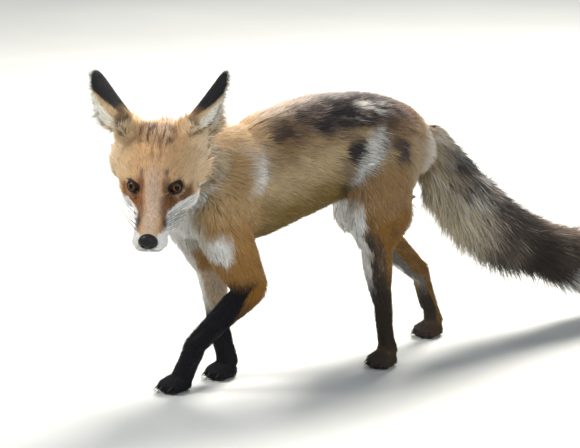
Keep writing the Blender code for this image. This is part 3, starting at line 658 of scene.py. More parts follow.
def mark_trunk(at):
    """Ochre belly (partly painted shade), tawny back, a broken charcoal saddle crossed by white streaks and
    bars.
    """
    x, y, z, out, high, rough = at.x, at.y, at.z, at.out, at.high, at.rough
    at.saddle = (ramp(high + .10 * rough, .70, .80) * ramp(y + .02 * rough, -.020, .030)
                 * (1 - ramp(y + .02 * rough, .155, .195)))
    broken = ramp(rough + .35 * at.fine, -.42, .05) * (.95 - .55 * ramp(high, .90, .99))
    behind_shoulder = ramp(y, .010, .050) * ramp(high + .1 * rough, .62, .74) * (1 - ramp(y, .17, .21))
    dark_spots = (((.043, .064, .346), (.030, .026, .014)), ((.027, -.004, .349), (.022, .012, .009)),
                  ((.052, .128, .332), (.030, .018, .010)), ((.048, .096, .336), (.030, .018, .008)))
    streaks = patch(at.from_side, (.036, .098, .352), (.026, .056, .012), rough * .4)
    combed = cloud(np.stack([x * .4, y * .16, z + .30 * (y - .10)], 1), .0052, 31)
    collar = patch(at.from_side, (.030, -.036, .333), (.024, .036, .016), rough * .6)
    bow = np.exp(-((y + .0765 + 7.0 * (z - .296) ** 2 - .004 * rough) / .0165) ** 4)
    flank = patch(at.from_side, (.053, .066, .288), (.040, .026, .034), rough * .6)
    along, bar_gap = along_line(at.own[:, 1:], np.array((.110, .312)), np.array((.070, .252)))
    at.bar = ramp(bar_gap + .004 * rough, .0230 - .0080 * along, .0120 - .0050 * along) * ramp(out, .03, .042)
    above_bar = patch(at.from_side, (.055, .072, .305), (.040, .021, .023), rough * .4)
    wisps = cloud(np.stack([x * .3, y + .35 * z, z * .16], 1), .0050, 33)
    at.colours = painted(
        even(BUFF, len(x)),
        (TAWNY, ramp(high + .12 * rough, .52, .80) * .85),
        # Partly the coat's own ochre, partly painted shade: it deepens down the flank towards the belly.
        (OCHRE, ramp(high + .10 * rough, .55, .16) * .95),
        ((.50, .38, .26), ramp(y, -.03, -.07) * ramp(high, .60, .85)),
        ((.43, .31, .185), ramp(y, -.055, -.085) * ramp(high, .95, .55) * ramp(high, -.1, .1)),
        ((.165, .125, .095), behind_shoulder * .75),
        ((.27, .205, .180), at.saddle * .8),
        (CHARCOAL, at.saddle * broken),
        *((CHARCOAL, patch(at.from_side, spot, reach, rough * .8) * .9) for spot, reach in dark_spots),
        # Painted rim light: a pale line along the top of the front half of the back, where light from behind
        # catches its edge.
        ((.60, .52, .46), ramp(high + .02 * rough, .90, .97) * ramp(y, .105, .075) * .85),
        ((.72, .69, .64), streaks * ramp(combed, .08, .34) * .95),
        (CHARCOAL, streaks * ramp(combed, -.05, -.30) * .85),
        ((.038, .030, .028), collar * .92),
        ((.92, .92, .92), bow * ramp(z, .258, .290) * ramp(z, .342, .326) * ramp(out, .018, .030)),
        ((.13, .105, .085), flank * .62),
        (CHARCOAL, above_bar * .98),
        ((.60, .60, .585), at.bar * ramp(wisps, -.75, -.1) * .95))
    at.fleck = .14 + at.saddle * .25 + .5 * streaks + at.bar * .8


def mark_haunch(at):
    """Brown haunches with a charcoal spot, paling behind, with a cream edge under the brush that is painted
    rim light.
    """
    y, z, out, rough, part = at.y, at.z, at.out, at.rough, at.part
    haunch = np.clip(part["thigh"] + part["rump"] * ramp(y, .15, .19) + part["shank"], 0, 1)
    paler = ramp(y + .004 * rough, .148, .176) * ramp(z, .210, .250) * ramp(out, .02, .04)
    behind = ramp(y + .004 * rough, .184, .204) * ramp(out, .010, .026) * ramp(z, .228, .262)
    at.colours = painted(
        at.colours,
        ((.275, .183, .108), haunch * (1 - at.saddle) * (1 - at.bar) * ramp(out, .0, .03) * .95),
        ((.38, .315, .24), haunch * paler * .8),
        ((.20, .125, .075), part["rump"] * ramp(at.high, .55, .8) * (1 - at.saddle) * .6),
        ((.040, .037, .042), patch(at.from_side, (.060, .146, .300), (.050, .016, .021), rough * .7) * .95),
        ((.12, .085, .06), patch(at.from_side, (.060, .128, .318), (.05, .026, .016), rough) * .7),
        # Painted rim light: a cream band along the haunch's hind edge under the brush, where light from
        # behind catches it.
        ((.64, .60, .54), np.clip(part["rump"] + part["thigh"], 0, 1) * behind
         * np.maximum(ramp(y, .226, .208), ramp(z, .280, .297)) * .9),
        ((.075, .055, .036), patch(at.from_side, (.044, .064, .252), (.03, .013, .018), rough * .6) * .85))


def mark_hind_legs(at):
    """White ahead and within, a dark stripe down the side, orange-brown behind, and dark feet."""
    x, z, part = at.x, at.z, at.part
    left = x > .005
    turned = np.degrees(np.arctan2(at.side * at.normals[:, 0], -at.normals[:, 1])) + 12 * at.rough
    hind = np.clip(part["thigh"] * ramp(z, .250, .215) + part["shank"] + part["hock"], 0, 1)
    front_edge = np.where(left, np.interp(z, (.10, .16, .21), (22, 40, 52)), 24)
    inner_edge = np.interp(z, (.150, .185), (-48, -130))
    ahead = ramp(turned - inner_edge, -12, 14) * ramp(turned - front_edge, 14, -10) * ramp(z, .070, .110)
    within = ramp(turned, -84, -66) * ramp(turned, -30, -48) * ramp(z, .190, .160)
    stripe = (turned - np.interp(z, (.10, .20), (62, 66))) / np.interp(z, (.10, .20), (44, 18))
    stripe = np.exp(-stripe ** 2) * ramp(z, .226, .190)
    low = (ramp(z + .01 * at.rough, np.where(left, .142, .088), np.where(left, .098, .058))
           * ramp(np.abs(turned - 20), 125, 95))
    at.colours = painted(
        at.colours,
        ((.225, .128, .055), hind * ramp(z, .24, .20)),
        ((.150, .088, .040), hind * (x < .005) * ramp(z, .20, .17) * .8),
        ((.045, .041, .039), hind * stripe * .96),
        (WHITE, hind * ahead * .97),
        ((.15, .145, .135), hind * within * .92),
        ((.026, .021, .017), hind * low * .95),
        ((.030, .025, .024), part["hind_paw"] * .95))


def mark_forelegs(at):
    """Orange above, then black stockings that start lower behind; the right leg is white within."""
    x, z, rough, part = at.x, at.z, at.rough, at.part
    ahead = -at.normals[:, 1]
    arm = np.clip(part["shoulder"] * ramp(z, .255, .215), 0, 1)
    fore = np.clip(part["fore_leg"] + part["fore_paw"] + part["shoulder"] * ramp(z, .165, .140), 0, 1)
    left = x > np.interp(z, (.0, .03, .14, .2), (-.024, -.022, -.004, -.006))
    within = ramp(ahead - ramp(-at.side * at.normals[:, 0], .2, .7), .35, .85)
    elbow, wrist = np.array((.042, -.082, .142)), np.array((.006, -.137, .069))
    down, _ = along_line(at.own, elbow, wrist)
    forward = (at.own - elbow - down[:, None] * (wrist - elbow)) @ np.array((.247, -.829, .50)) / .013
    edge = np.interp(down, (0, .08, .30, .55, .78), (.80, .50, -.22, -.80, -2.5))
    left_black = ramp(forward + .25 * rough - edge, -.18, .12)
    right_black = ramp((.155 - z) / .085 + .25 * ahead - .40 + .08 * rough, .40, .52)
    paw = np.maximum(part["fore_paw"], fore * ramp(z, .078, .060)) * .97
    at.stocking = np.maximum(fore * np.where(left, left_black, right_black), paw)
    at.colours = painted(
        at.colours,
        ((.325, .190, .090), arm * .9),
        ((.26, .140, .055), fore),
        ((.085, .050, .032), fore * left * ramp((.142 - z) / .073, .10, .55)),
        ((.36, .285, .205), fore * ~left * .8),
        ((.70, .68, .64), np.clip(fore + arm, 0, 1) * within * ~left * ramp(z, .075, .11) * .9),
        (BLACK, at.stocking),
        (WHITE, patch(at.from_side, (.052, -.136, .200), (.018, .022, .030), rough * .5) * .95))
    at.right_fore = fore * ~left


def mark_neck(at):
    """Tan above, grey-buff on the sides, and a white bib that runs down between the legs."""
    x, y, z, normals, part = at.x, at.y, at.z, at.normals, at.part
    neck = np.clip(part["neck"] + part["chest"] * ramp(y, -.09, -.13), 0, 1)
    top = ramp(normals[:, 2], .2, .6)
    beneath = ramp(normals[:, 2], .35, -.25) * ramp(-normals[:, 1] + .2, .0, .7)
    fringe = (ramp(normals @ np.array((-.25, -.97, 0)), .42, .75) * (x < .004) * ramp(z, .088, .112)
              * ramp(z, .285, .255) * ramp(y, -.045, -.060))
    withers = patch(at.from_side, (.050, -.106, .297), (.032, .024, .034), at.rough * .5)
    at.colours = painted(
        at.colours,
        ((.46, .33, .21), neck * top * .9),
        ((.42, .36, .27), neck * (1 - top) * .8),
        ((.60, .59, .55), neck * beneath * .9),
        (BROWN, patch(at.own, (.045, -.143, .211), (.0045, .0045, .0045)) * .9),
        ((.80, .78, .74), fringe * .95),
        ((.74, .62, .48), at.right_fore * (1 - fringe) * ramp(z, .088, .108) * .9),
        ((.34, .235, .130), withers * .75))


def mark_brush(at):
    """Grey-brown hair tipped with black above, pale beneath, then a dark band and a white tip."""
    along = brush_share(at.points)
    brush = np.clip(at.part["brush"] + at.part["brush_end"], 0, 1)
    up = at.normals[:, 2] + .3 * at.rough
    smoky = cloud(at.points, .030, 41) + .5 * cloud(at.points, .012, 42)
    combed = cloud(at.points @ np.array(((1, 0, 0), (0, .18, .12), (0, .12, .8))), .0075, 43)
    sides = ramp(up, -.6, -.2) * ramp(up, .75, .45)
    tipped = ramp(up, -.35, .05) * ramp(along, .03, .08) * ramp(smoky, -.42, -.02)
    band = ramp(along, .40, .50) * ramp(up, .50, .05) * (.94 - .38 * ramp(along, .50, .60))
    smudge = brush * patch(at.own, (.045, .250, .272), (.034, .028, .026), at.rough * .7)
    at.colours = painted(
        at.colours,
        ((.215, .175, .140), brush),
        ((.38, .33, .25), brush * ramp(along, .24, .08) * ramp(up, .75, .30) * .9),
        ((.42, .37, .295), brush * ramp(up, .10, -.40) * ramp(along, .52, .38) * .8),
        ((.050, .046, .048), brush * tipped * .92),
        ((.20, .135, .085), brush * ramp(up, .55, .85) * ramp(along, .5, .3) * ramp(along, .05, .12) * .8),
        ((.52, .47, .40), brush * ramp(up, -.1, .3) * ramp(along, .125, .085) * .85),
        ((.66, .59, .46), brush * ramp(up, -.30, -.70) * ramp(along, .42, .30) * .95),
        ((.052, .043, .038), brush * ramp(along + .03 * smoky, .27, .38) * ramp(smoky, -1.2, -.5) * .90),
        ((.62, .60, .56), brush * ramp(combed, .15, .5) * ramp(along, .36, .28) * sides * .75),
        ((.20, .145, .115), brush * ramp(along, .42, .52) * ramp(up, .55, .85) * .8),
        (CHARCOAL, smudge * .96),
        ((.018, .014, .012), brush * band),
        (WHITE, brush * ramp(along + .03 * at.rough + .08 * ramp(up, .1, -.6), .700, .745)))
    at.fleck = (at.fleck * (1 - brush) + .75 * brush) * (1 - .7 * smudge)


def mark_eyes(tone, at):
    """Dark lids, a dark line from the inner corner, and a dark spot at the outer one."""
    for sign in (1, -1):
        centre, out, corner, up = eye_axes(sign)
        gap, aside, ahead = eye_gaps(at.points, sign)
        tear = reach_of(at.points - (centre + EYE_RADIUS * (out * .55 - corner * 1.15 - up * .30)))
        outer = reach_of(at.points - (centre + EYE_RADIUS * (out * .50 + corner * 1.25 + up * .10)))
        lids = ramp(aside + .0004 * at.fine, .0126, .0112) * ramp(gap, .0150, .0136) * (ahead > 0)
        tone = painted(
            tone,
            ((.020, .016, .018), lids),
            ((.026, .018, .016), (1 - ramp(tear, .0030, .0056)) * .95),
            ((.05, .032, .024), (1 - ramp(outer, .0014, .0040)) * .85))
    return tone


LIP = np.array((                 # (y, height of the white lip's upper edge), the head's axes
    (-.160, .004), (-.150, .0035), (-.140, -.0005), (-.128, -.0015), (-.112, .0025), (-.098, .0005),
    (-.086, -.0055), (-.072, -.0120), (-.055, -.0190), (-.030, -.024), (-.010, -.024), (.010, -.020)))


def mark_head(at):
    """Tan, with a dark-streaked crown, rust before the eyes, a pale bridge, and white lips and cheeks."""
    rough, fine = at.rough, at.fine
    head = np.clip(sum(at.part[label] for label in ("muzzle", "face", "crown", "cheek", "throat")), 0, 1)
    x, y, z = at.head_points.T
    out = np.abs(x)
    at.folded = np.stack([out, y, z], 1)
    ribs = cloud(np.stack([x, y * .16, z * .16], 1), .0022, 9)
    crown = patch(at.head_points, (-.002, -.024, .049), (.026, .023, .020), rough * .5)
    brow_line = patch(at.folded, (.0, -.050, .046), (.012, .022, .02)) * ramp(ribs, -.3, .4)
    bridge_of_nose = ramp(out + .003 * rough, .0150, .0030) * ramp(y, -.050, -.100) * ramp(z, -.004, .004)
    rust = np.maximum(patch(at.folded, (.018, -.101, .005), (.0135, .030, .017), rough * .3),
                      patch(at.folded, (.034, -.080, .000), (.020, .018, .015), rough * .3))
    rust = np.maximum(rust, patch(at.folded, (.016, -.088, .018), (.009, .018, .012), rough * .2) * .8)
    lip = np.interp(y, LIP[:, 0], LIP[:, 1])
    white = ramp(lip - z + .0015 * fine, -.0012, .0018) * ramp(out, .009, .0125)
    white = np.where(z < -.012, np.maximum(white, ramp(lip - z, -.001, .002)), white)
    white = np.maximum(white, ramp(z, -.002, -.006) * ramp(y, -.138, -.146))
    cheek_rim_light = ramp(out + .0015 * fine, .0590, .0630) * ramp(y, -.050, -.035) * ramp(z, -.045, -.02)
    mouth = np.exp(-((z - np.interp(y, MOUTH[:, 0], MOUTH[:, 1])) / .0011) ** 2)
    tone = painted(
        even(TAN, len(x)),
        ((.64, .47, .29), ramp(out, .020, .042)),
        ((.72, .57, .40), ramp(out, .038, .056) * ramp(z, -.02, .02)),
        ((.20, .115, .060), crown * .55),
        ((.070, .034, .016), crown * ramp(ribs, -.20, .20) * .95),
        ((.30, .16, .075), brow_line * .7),
        # Painted light and shade: the rust is darkened, then made lighter again on the right of the face
        # (-x), the side that takes the light.
        (RUST * .74, rust * .93),
        (RUST * 1.45, rust * ramp(x, .002, -.004) * .9),
        ((.26, .135, .070), ramp(out, .009, .014) * ramp(y, -.100, -.110) * ramp(z, -.004, .003) * .75),
        ((.58, .44, .34), bridge_of_nose * .9),
        ((.14, .11, .09), patch(at.folded, (.0150, -.074, .028), (.004, .006, .005)) * .8),
        (WHITE, white * .97),
        # Painted rim light: a thin white edge along the outline of the right cheek (-x) only, the side that
        # takes the light.
        (WHITE, cheek_rim_light * ramp(x, .0, -.01) * .9),
        ((.075, .058, .052), patch(at.folded, (.0185, -.128, .001), (.006, .011, .005), rough * .3) * .85),
        # Painted shade: the pale throat is greyed towards the angle of the jaw.
        ((.44, .44, .41), at.part["throat"] * ramp(y, -.09, -.04) * .7),
        ((.025, .018, .016), mouth * ramp(y, -.086, -.094) * ramp(out, .001, .004)))
    at.colours = painted(at.colours, (mark_eyes(tone, at), head))
    at.fleck = at.fleck * (1 - head) + (.16 + .5 * crown) * head
    at.head = head


EAR_EDGE = {                     # (share of the length, how far across its black back ends)
    1: ((.0, .28), (.15, .44), (.30, .60), (.42, .70), (.52, .78), (.66, .88), (.80, 1.02)),
    -1: ((.0, .26), (.15, .42), (.30, .52), (.42, .58), (.52, .66), (.66, .80), (.80, 1.00))}


def mark_ears(at):
    """Black behind to half their length and tan at the root, with buff edges and pale hair within."""
    ear, ear_side = on_ears(at.points)
    for sign in (1, -1):
        share, across = ear_place(at.points, sign)[:2]
        centre = ear_row(sign, share)[2]
        front = -sign * across
        edge = np.interp(share, *np.array(EAR_EDGE[sign]).T)
        rim = np.maximum(np.interp(share, (.0, .30, .50, .80), (.68, .75, .80, .94)), edge + .05)
        back = painted(
            even((.46, .315, .19), len(share)),
            ((.14, .088, .050), ramp(share + .04 * at.rough, .20, .34)),
            ((.016, .016, .019), ramp(share + .05 * at.rough - .05 * front, .32, .42)),
            ((.60, .44, .27), ramp(front - edge, -.08, .03) * ramp(share, .90, .82)),
            ((.84, .80, .70), ramp(front - rim, -.05, .05) * ramp(share, .88, .78) * ramp(share, .04, .22)),
            ((.74, .70, .62), ramp(-front, .72, .86) * ramp(share, .74, .60)))
        within = painted(
            even((.78, .74, .65), len(share)),
            ((.60, .44, .27), ramp(share, .70, .45) * ramp(front, .82, .62) * .9),
            ((.62, .47, .30), ramp(share, .34, .12) * .85),
            ((.10, .08, .07), ramp(share, .88, .96) * .8))
        inside = dot(at.points - centre, at.normals) < 0
        mine = ear * (ear_side == sign)
        at.colours = painted(at.colours, (np.where(inside[:, None], within, back), mine))
        at.fleck = at.fleck * (1 - mine) + .12 * mine
    brown = patch(at.folded, (.042, -.010, .063), (.013, .013, .012), at.rough * .3)
    brown = brown * np.where(at.head_points[:, 0] < 0, .85, .35) * (at.colours.max(1) > .05)
    at.colours = painted(at.colours, ((.14, .085, .045), brown))


def markings(points, normals):
    """The coat's colour at each place, and how strongly pale or dark single hairs stand out there."""
    at = places(points, normals)
    for mark in (mark_trunk, mark_haunch, mark_hind_legs, mark_forelegs, mark_neck, mark_brush,
                 mark_head, mark_ears):
        mark(at)
    fleck = at.fleck * (1 - at.stocking) * ramp(at.colours.max(1), .03, .12)
    grey = at.colours.mean(1, keepdims=True)
    colours = grey + (at.colours - grey) * (1.32 - .22 * at.head)[:, None]
    return np.clip(colours, 0.003, 1), fleck


points, normals = points_of(skin)
hide_tone, _ = markings(points, normals)
shade = (0.62 + 0.38 * ramp(coat_at(points)[2], .0030, .0010))[:, None]      # darker under deep hair
hide_tone = np.concatenate([hide_tone * shade, np.ones((len(points), 1))], 1).astype(np.float32)
skin.data.attributes.new("coat", "FLOAT_COLOR", "POINT").data.foreach_set("color", hide_tone.ravel())


def map_range(tree, value, low, high, to_low=0.0, to_high=1.0):
    """A value moved from one range to another."""
    span = {"Value": value, "From Min": low, "From Max": high, "To Min": to_low, "To Max": to_high}
    return add_node(tree, "MapRange", span).outputs["Result"]


def hair_group():
    """Fine streaks and roughness that every hairy surface shares."""
    group = bpy.data.node_groups.new("hair_detail", "ShaderNodeTree")
    group.interface.new_socket("Colour", in_out="INPUT", socket_type="NodeSocketColor")
    for name, value in (("Streak Size", 900.0), ("Streak Strength", 0.25)):
        group.interface.new_socket(name, in_out="INPUT", socket_type="NodeSocketFloat").default_value = value
    for name, kind in (("Colour", "Color"), ("Roughness", "Float"), ("Height", "Float")):
        group.interface.new_socket(name, in_out="OUTPUT", socket_type="NodeSocket" + kind)
    given, given_out = group.nodes.new("NodeGroupInput"), group.nodes.new("NodeGroupOutput")
    streaks = grain(group, given.outputs["Streak Size"])
    spread = add_node(group, "Math", {0: streaks, 1: 0.5}, operation="SUBTRACT").outputs[0]
    strength = {0: spread, 1: given.outputs["Streak Strength"], 2: 1.0}
    gain = add_node(group, "Math", strength, operation="MULTIPLY_ADD").outputs[0]
    tinted = add_node(group, "VectorMath", {0: given.outputs["Colour"], "Scale": gain}, operation="SCALE")
    rough = map_range(group, streaks, 0.3, 0.7, 0.48, 0.68)
    connect(group, given_out, {"Colour": tinted.outputs[0], "Roughness": rough, "Height": streaks})
    return group


hair_detail = hair_group()


def coat_material(name, size, strength, bump, sheen):
    """A coat's finish: its painted colour, broken by fine streaks."""
    fixed = {"Specular IOR Level": 0.16, "Sheen Weight": sheen, "Sheen Roughness": 0.45}
    made, tree, shader = new_material(name, fixed)
    paint = add_node(tree, "Attribute", {}, attribute_name="coat").outputs["Color"]
    look = {"Colour": paint, "Streak Size": size, "Streak Strength": strength}
    detail = add_node(tree, "Group", look, node_tree=hair_detail).outputs
    connect(tree, shader, {"Base Color": detail["Colour"], "Roughness": detail["Roughness"]})
    if bump:
        relief = add_node(tree, "Bump", {"Strength": 0.5, "Distance": bump, "Height": detail["Height"]})
        connect(tree, shader, {"Normal": relief.outputs["Normal"]})
    return made


skin.data.materials.clear()
skin.data.materials.append(coat_material("underfur", 1100.0, 0.5, 0.0006, 0.0))
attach(skin, "root")
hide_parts(*FLESH, "ear_left", "ear_right")

# ---- The coat ----
# A quarter of a million locks of guard hair, each a thin closed spindle rooted in the hide. They lie
# along the animal from nose to brush, short on face and feet, long on neck, haunch and brush.
NOSE = np.array((-0.0005, -0.1550, -0.0010))         # the middle of the nose pad, in the head's axes
draw = np.random.default_rng(20417)
corners = np.empty(len(skin.data.loops), np.int32)
skin.data.loops.foreach_get("vertex_index", corners)
triangles = corners.reshape(-1, 3)
first, second, third = (points[triangles[:, k]] for k in range(3))
centres = points[triangles].mean(1)
areas = reach_of(np.cross(second - first, third - first)) / 2
triangle_labels = np.array(COAT_LABELS)[coat_at(centres)[0].argmax(1)]
triangle_labels[on_ears(centres)[0] > 0.5] = "ear"

# No hair grows on the eyes, the nose pad, the line of the mouth or the soles.
bald = (centres[:, 2] < .0035) & (unit(normals[triangles].sum(1))[:, 2] < -.5)
for sign in (1, -1):
    gap, aside, ahead = eye_gaps(centres, sign)
    bald |= (aside < .0125) & (gap < .0150) & (ahead > 0)
head_centres = in_head(centres)
bald |= gap_to(head_centres, NOSE, (.0125, .0100, .0105)) < 1
mouth_gap = np.abs(head_centres[:, 2] - np.interp(head_centres[:, 1], MOUTH[:, 0], MOUTH[:, 1]))
bald |= (mouth_gap < .0009) & (head_centres[:, 1] < -.09)


CELL = .004                      # roots are dealt out cell by cell of this size, so that they spread evenly


def spread_on(faces, count):
    """Evenly scattered roots on some faces: the face of each, and its place within it."""
    cells = np.floor(centres[faces] / CELL).astype(np.int64)
    faces = faces[np.lexsort((cells[:, 0], cells[:, 1], cells[:, 2]))]
    total = np.cumsum(areas[faces])
    picks = (np.arange(count) + draw.random(count)) / count * total[-1]
    chosen = faces[np.minimum(np.searchsorted(total, picks), len(faces) - 1)]
    first, second = draw.random(count), draw.random(count)
    flip = first + second > 1
    first[flip], second[flip] = 1 - first[flip], 1 - second[flip]
    return chosen, np.stack([1 - first - second, first, second], 1)


def own_unwrap(faces):
    """The corners of those faces laid flat, so that each root has its place on the hide's own shape."""
    used, index = np.unique(triangles[faces], return_inverse=True)
    flat = bpy.data.meshes.new("unwrap")
    flat.from_pydata(points[used].tolist(), [], index.reshape(-1, 3).tolist())
    holder = new_object("unwrap", flat)
    choose(holder)
    bpy.ops.object.mode_set(mode="EDIT")
    bpy.ops.mesh.select_all(action="SELECT")
    bpy.ops.uv.smart_project(angle_limit=math.radians(66), island_margin=0.004)
    bpy.ops.object.mode_set(mode="OBJECT")
    corners = np.empty(len(flat.loops) * 2, np.float32)
    flat.uv_layers.active.data.foreach_get("uv", corners)
    bpy.data.objects.remove(holder)
    bpy.data.meshes.remove(flat)
    return corners.reshape(-1, 3, 2)


WIDEST = .40                     # the share of its length at which a lock is widest
FOOT_DEPTH = .0004               # how far a lock's foot is sunk in the hide
FLOOR_GAP = .0003                # how far every lock stays above the floor
SPINDLE = np.array(((0, 2, 1), (0, 3, 2), (0, 1, 3), (1, 2, 4), (2, 3, 4), (3, 1, 4)))
LOCK_UV = np.array(((0, -.0015), (-.0015, -.0002), (0, .0001), (.0015, -.0002), (0, .0015)))


def lock_mesh(name, roots, skin_normals, ways, lengths, rises, widths, tones, spots, full):
    """Joins one spindle per root: its foot, a ring of three at its widest, and its tip."""
    count = len(roots)
    across = unit(np.cross(ways, skin_normals))
    first, last = (unit(ways * np.cos(rise) + skin_normals * np.sin(rise)) for rise in rises[..., None])
    middle = roots + first * (lengths * WIDEST)[:, None]
    tip = middle + last * (lengths * (1 - WIDEST))[:, None]
    ridge = unit(np.cross(across, first))
    ridge = ridge * np.sign(dot(ridge, skin_normals))[:, None]
    half = (widths / 2)[:, None]
    ring = [middle - across * half - ridge * half * .25, middle + ridge * half * .55,
            middle + across * half - ridge * half * .25]
    lock_points = np.stack([roots - skin_normals * FOOT_DEPTH, *ring, tip], 1)
    lock_points[..., 2] = np.maximum(lock_points[..., 2], FLOOR_GAP)
    as_hide = np.stack([skin_normals, unit(skin_normals * .9 - across * .75), unit(skin_normals + first * .1),
                        unit(skin_normals * .9 + across * .75), unit(skin_normals + last * .35)], 1)
    own_round = np.stack([skin_normals, unit(-across - ridge * .2), ridge, unit(across - ridge * .2),
                          last], 1)
    outward = unit(as_hide * (1 - full) + own_round * full)
    faces = np.arange(count)[:, None, None] * 5 + SPINDLE
    inside_out = dot(np.cross(ring[1] - ring[0], ring[2] - ring[0]), last) < 0
    faces[inside_out] = faces[inside_out][:, :, ::-1]
    faces = faces.reshape(-1)
    shown = np.ones((count, 5, 4), np.float32)
    shown[:, 0, :3], shown[:, 1:4, :3], shown[:, 4, :3] = tones[0], tones[1][:, None], tones[2]
    made = bpy.data.meshes.new(name)
    made.vertices.add(count * 5)
    made.vertices.foreach_set("co", lock_points.astype(np.float32).ravel())
    made.loops.add(len(faces))
    made.loops.foreach_set("vertex_index", faces.astype(np.int32))
    made.polygons.add(count * 6)
    made.polygons.foreach_set("loop_start", np.arange(0, len(faces), 3, dtype=np.int32))
    made.polygons.foreach_set("use_smooth", np.ones(count * 6, bool))
    made.update(calc_edges=True)
    made.attributes.new("coat", "FLOAT_COLOR", "POINT").data.foreach_set("color", shown.ravel())
    custom = made.attributes.new("custom_normal", "FLOAT_VECTOR", "POINT")
    custom.data.foreach_set("vector", outward.astype(np.float32).ravel())
    spots = (np.clip(spots, .004, .996)[:, None] + LOCK_UV).reshape(-1, 2)
    made.uv_layers.new(name="OFBake").data.foreach_set("uv", spots[faces].astype(np.float32).ravel())
    return made


MOST_SWING = .42                 # radians, how far a lock strays sideways from the lie of the coat
UNDER_RUMP = ((.008, .188, .230), (.085, .036, .028))        # the fold between haunch and brush
GROOMED = (                      # (centre, reach, change of slope, change of length)
    (*UNDER_RUMP, -.55, -.40),
    ((.047, .186, .228), (.022, .018, .017), -.90, -.60),
    ((.014, .220, .316), (.038, .026, .018), -.75, -.15),
    ((.035, .212, .240), (.040, .034, .034), 0, .20))
THIGH_EDGE = ((.063, .180, .232), (.020, .020, .024))        # the left haunch's hind edge, shorter hair


def brush_fringe(roots, skin_normals, shares):
    """How far each root belongs to the long hair that hangs under the brush's first half."""
    beneath = ramp(skin_normals[:, 2], .15, -.45) * ramp(brush_share(roots), .60, .36)
    return share_of(shares, "brush") * beneath


def ear_foot(roots):
    """How far each root belongs to the tuft that fills the corner between cheek and ear."""
    x, y, z = in_head(roots).T
    return patch(np.stack([np.abs(x), y, z], 1), (.055, -.004, .024), (.018, .022, .016))


def hair_way(roots, skin_normals, lie, shares):
    """The lie of the hair, with the fan on the brow and the parting round each eye."""
    x, y, z = in_head(roots).T
    same = np.ones(len(roots))
    brow = (.75 * share_of(shares, "muzzle", "face", "crown", "cheek") * ramp(z, -.012, .010))[:, None]
    fan = np.stack([np.clip(x, -.030, .030) * 12 * ramp(y, -.115, -.060), same, .1 * same], 1)
    tuft = np.stack([.55 * np.sign(x), .25 * same, -.10 * same], 1)
    lie = lie * (1 - brow) + fan @ HEAD[:3, :3].T * brow + ear_foot(roots)[:, None] * (tuft @ HEAD[:3, :3].T)
    ledge = patch(roots - OWN_AXES, *UNDER_RUMP)[:, None]
    lie = unit(lie) * (1 - ledge) + ledge * np.array((0, .02, -1.0))
    lie = unit(lie) + 1.1 * brush_fringe(roots, skin_normals, shares)[:, None] * np.array((0, .05, -1.0))
    for sign in (1, -1):
        centre, out, corner = eye_axes(sign)[:3]
        away = roots - centre
        near = .75 * ramp(reach_of(away), .024, .012)[:, None]
        lie = lie * (1 - near) + (unit(away - (away @ out)[:, None] * out) + .5 * corner) * near
    return lie


def ear_hair(roots, skin_normals, lie, depth, length):
    """On the ears short fur runs to the tip; pale long hair springs from the edge ahead and within."""
    ear_side = on_ears(roots)[1]
    for sign in (1, -1):
        mine = ear_side == sign
        share, across = ear_place(roots, sign)[:2]
        opening, width, centre = ear_row(sign, share)[:3]
        axis = ear_axes(sign)[1]
        inside = dot(roots - centre, skin_normals) < 0
        front = -sign * across
        edge = ramp(np.abs(front), .72, .95)
        falls = ramp(share, .34, .10) * ramp(front, .25, .70)
        root_zone = ramp(share, .30, .02)
        way = np.where(inside[:, None], opening * .9 + axis * .55 - width * (sign * .35), axis)
        way = way * (1 - .45 * edge[:, None]) + opening * (.45 * edge)[:, None]
        way = way * (1 - falls[:, None]) + (opening * .60 + axis * .50) * falls[:, None]
        deep = np.where(inside, .0022, .0010) + .0016 * edge * ramp(share, .60, .38) + root_zone * .0008
        long = (np.where(inside, .0070 + .004 * ramp(share, .75, .2), .0040)
                + .0035 * ramp(share, .62, .38) * edge + .003 * falls + root_zone * .002)
        lie = np.where(mine[:, None], way, lie)
        depth, length = np.where(mine, deep, depth), np.where(mine, long, length)
    return lie, depth, length


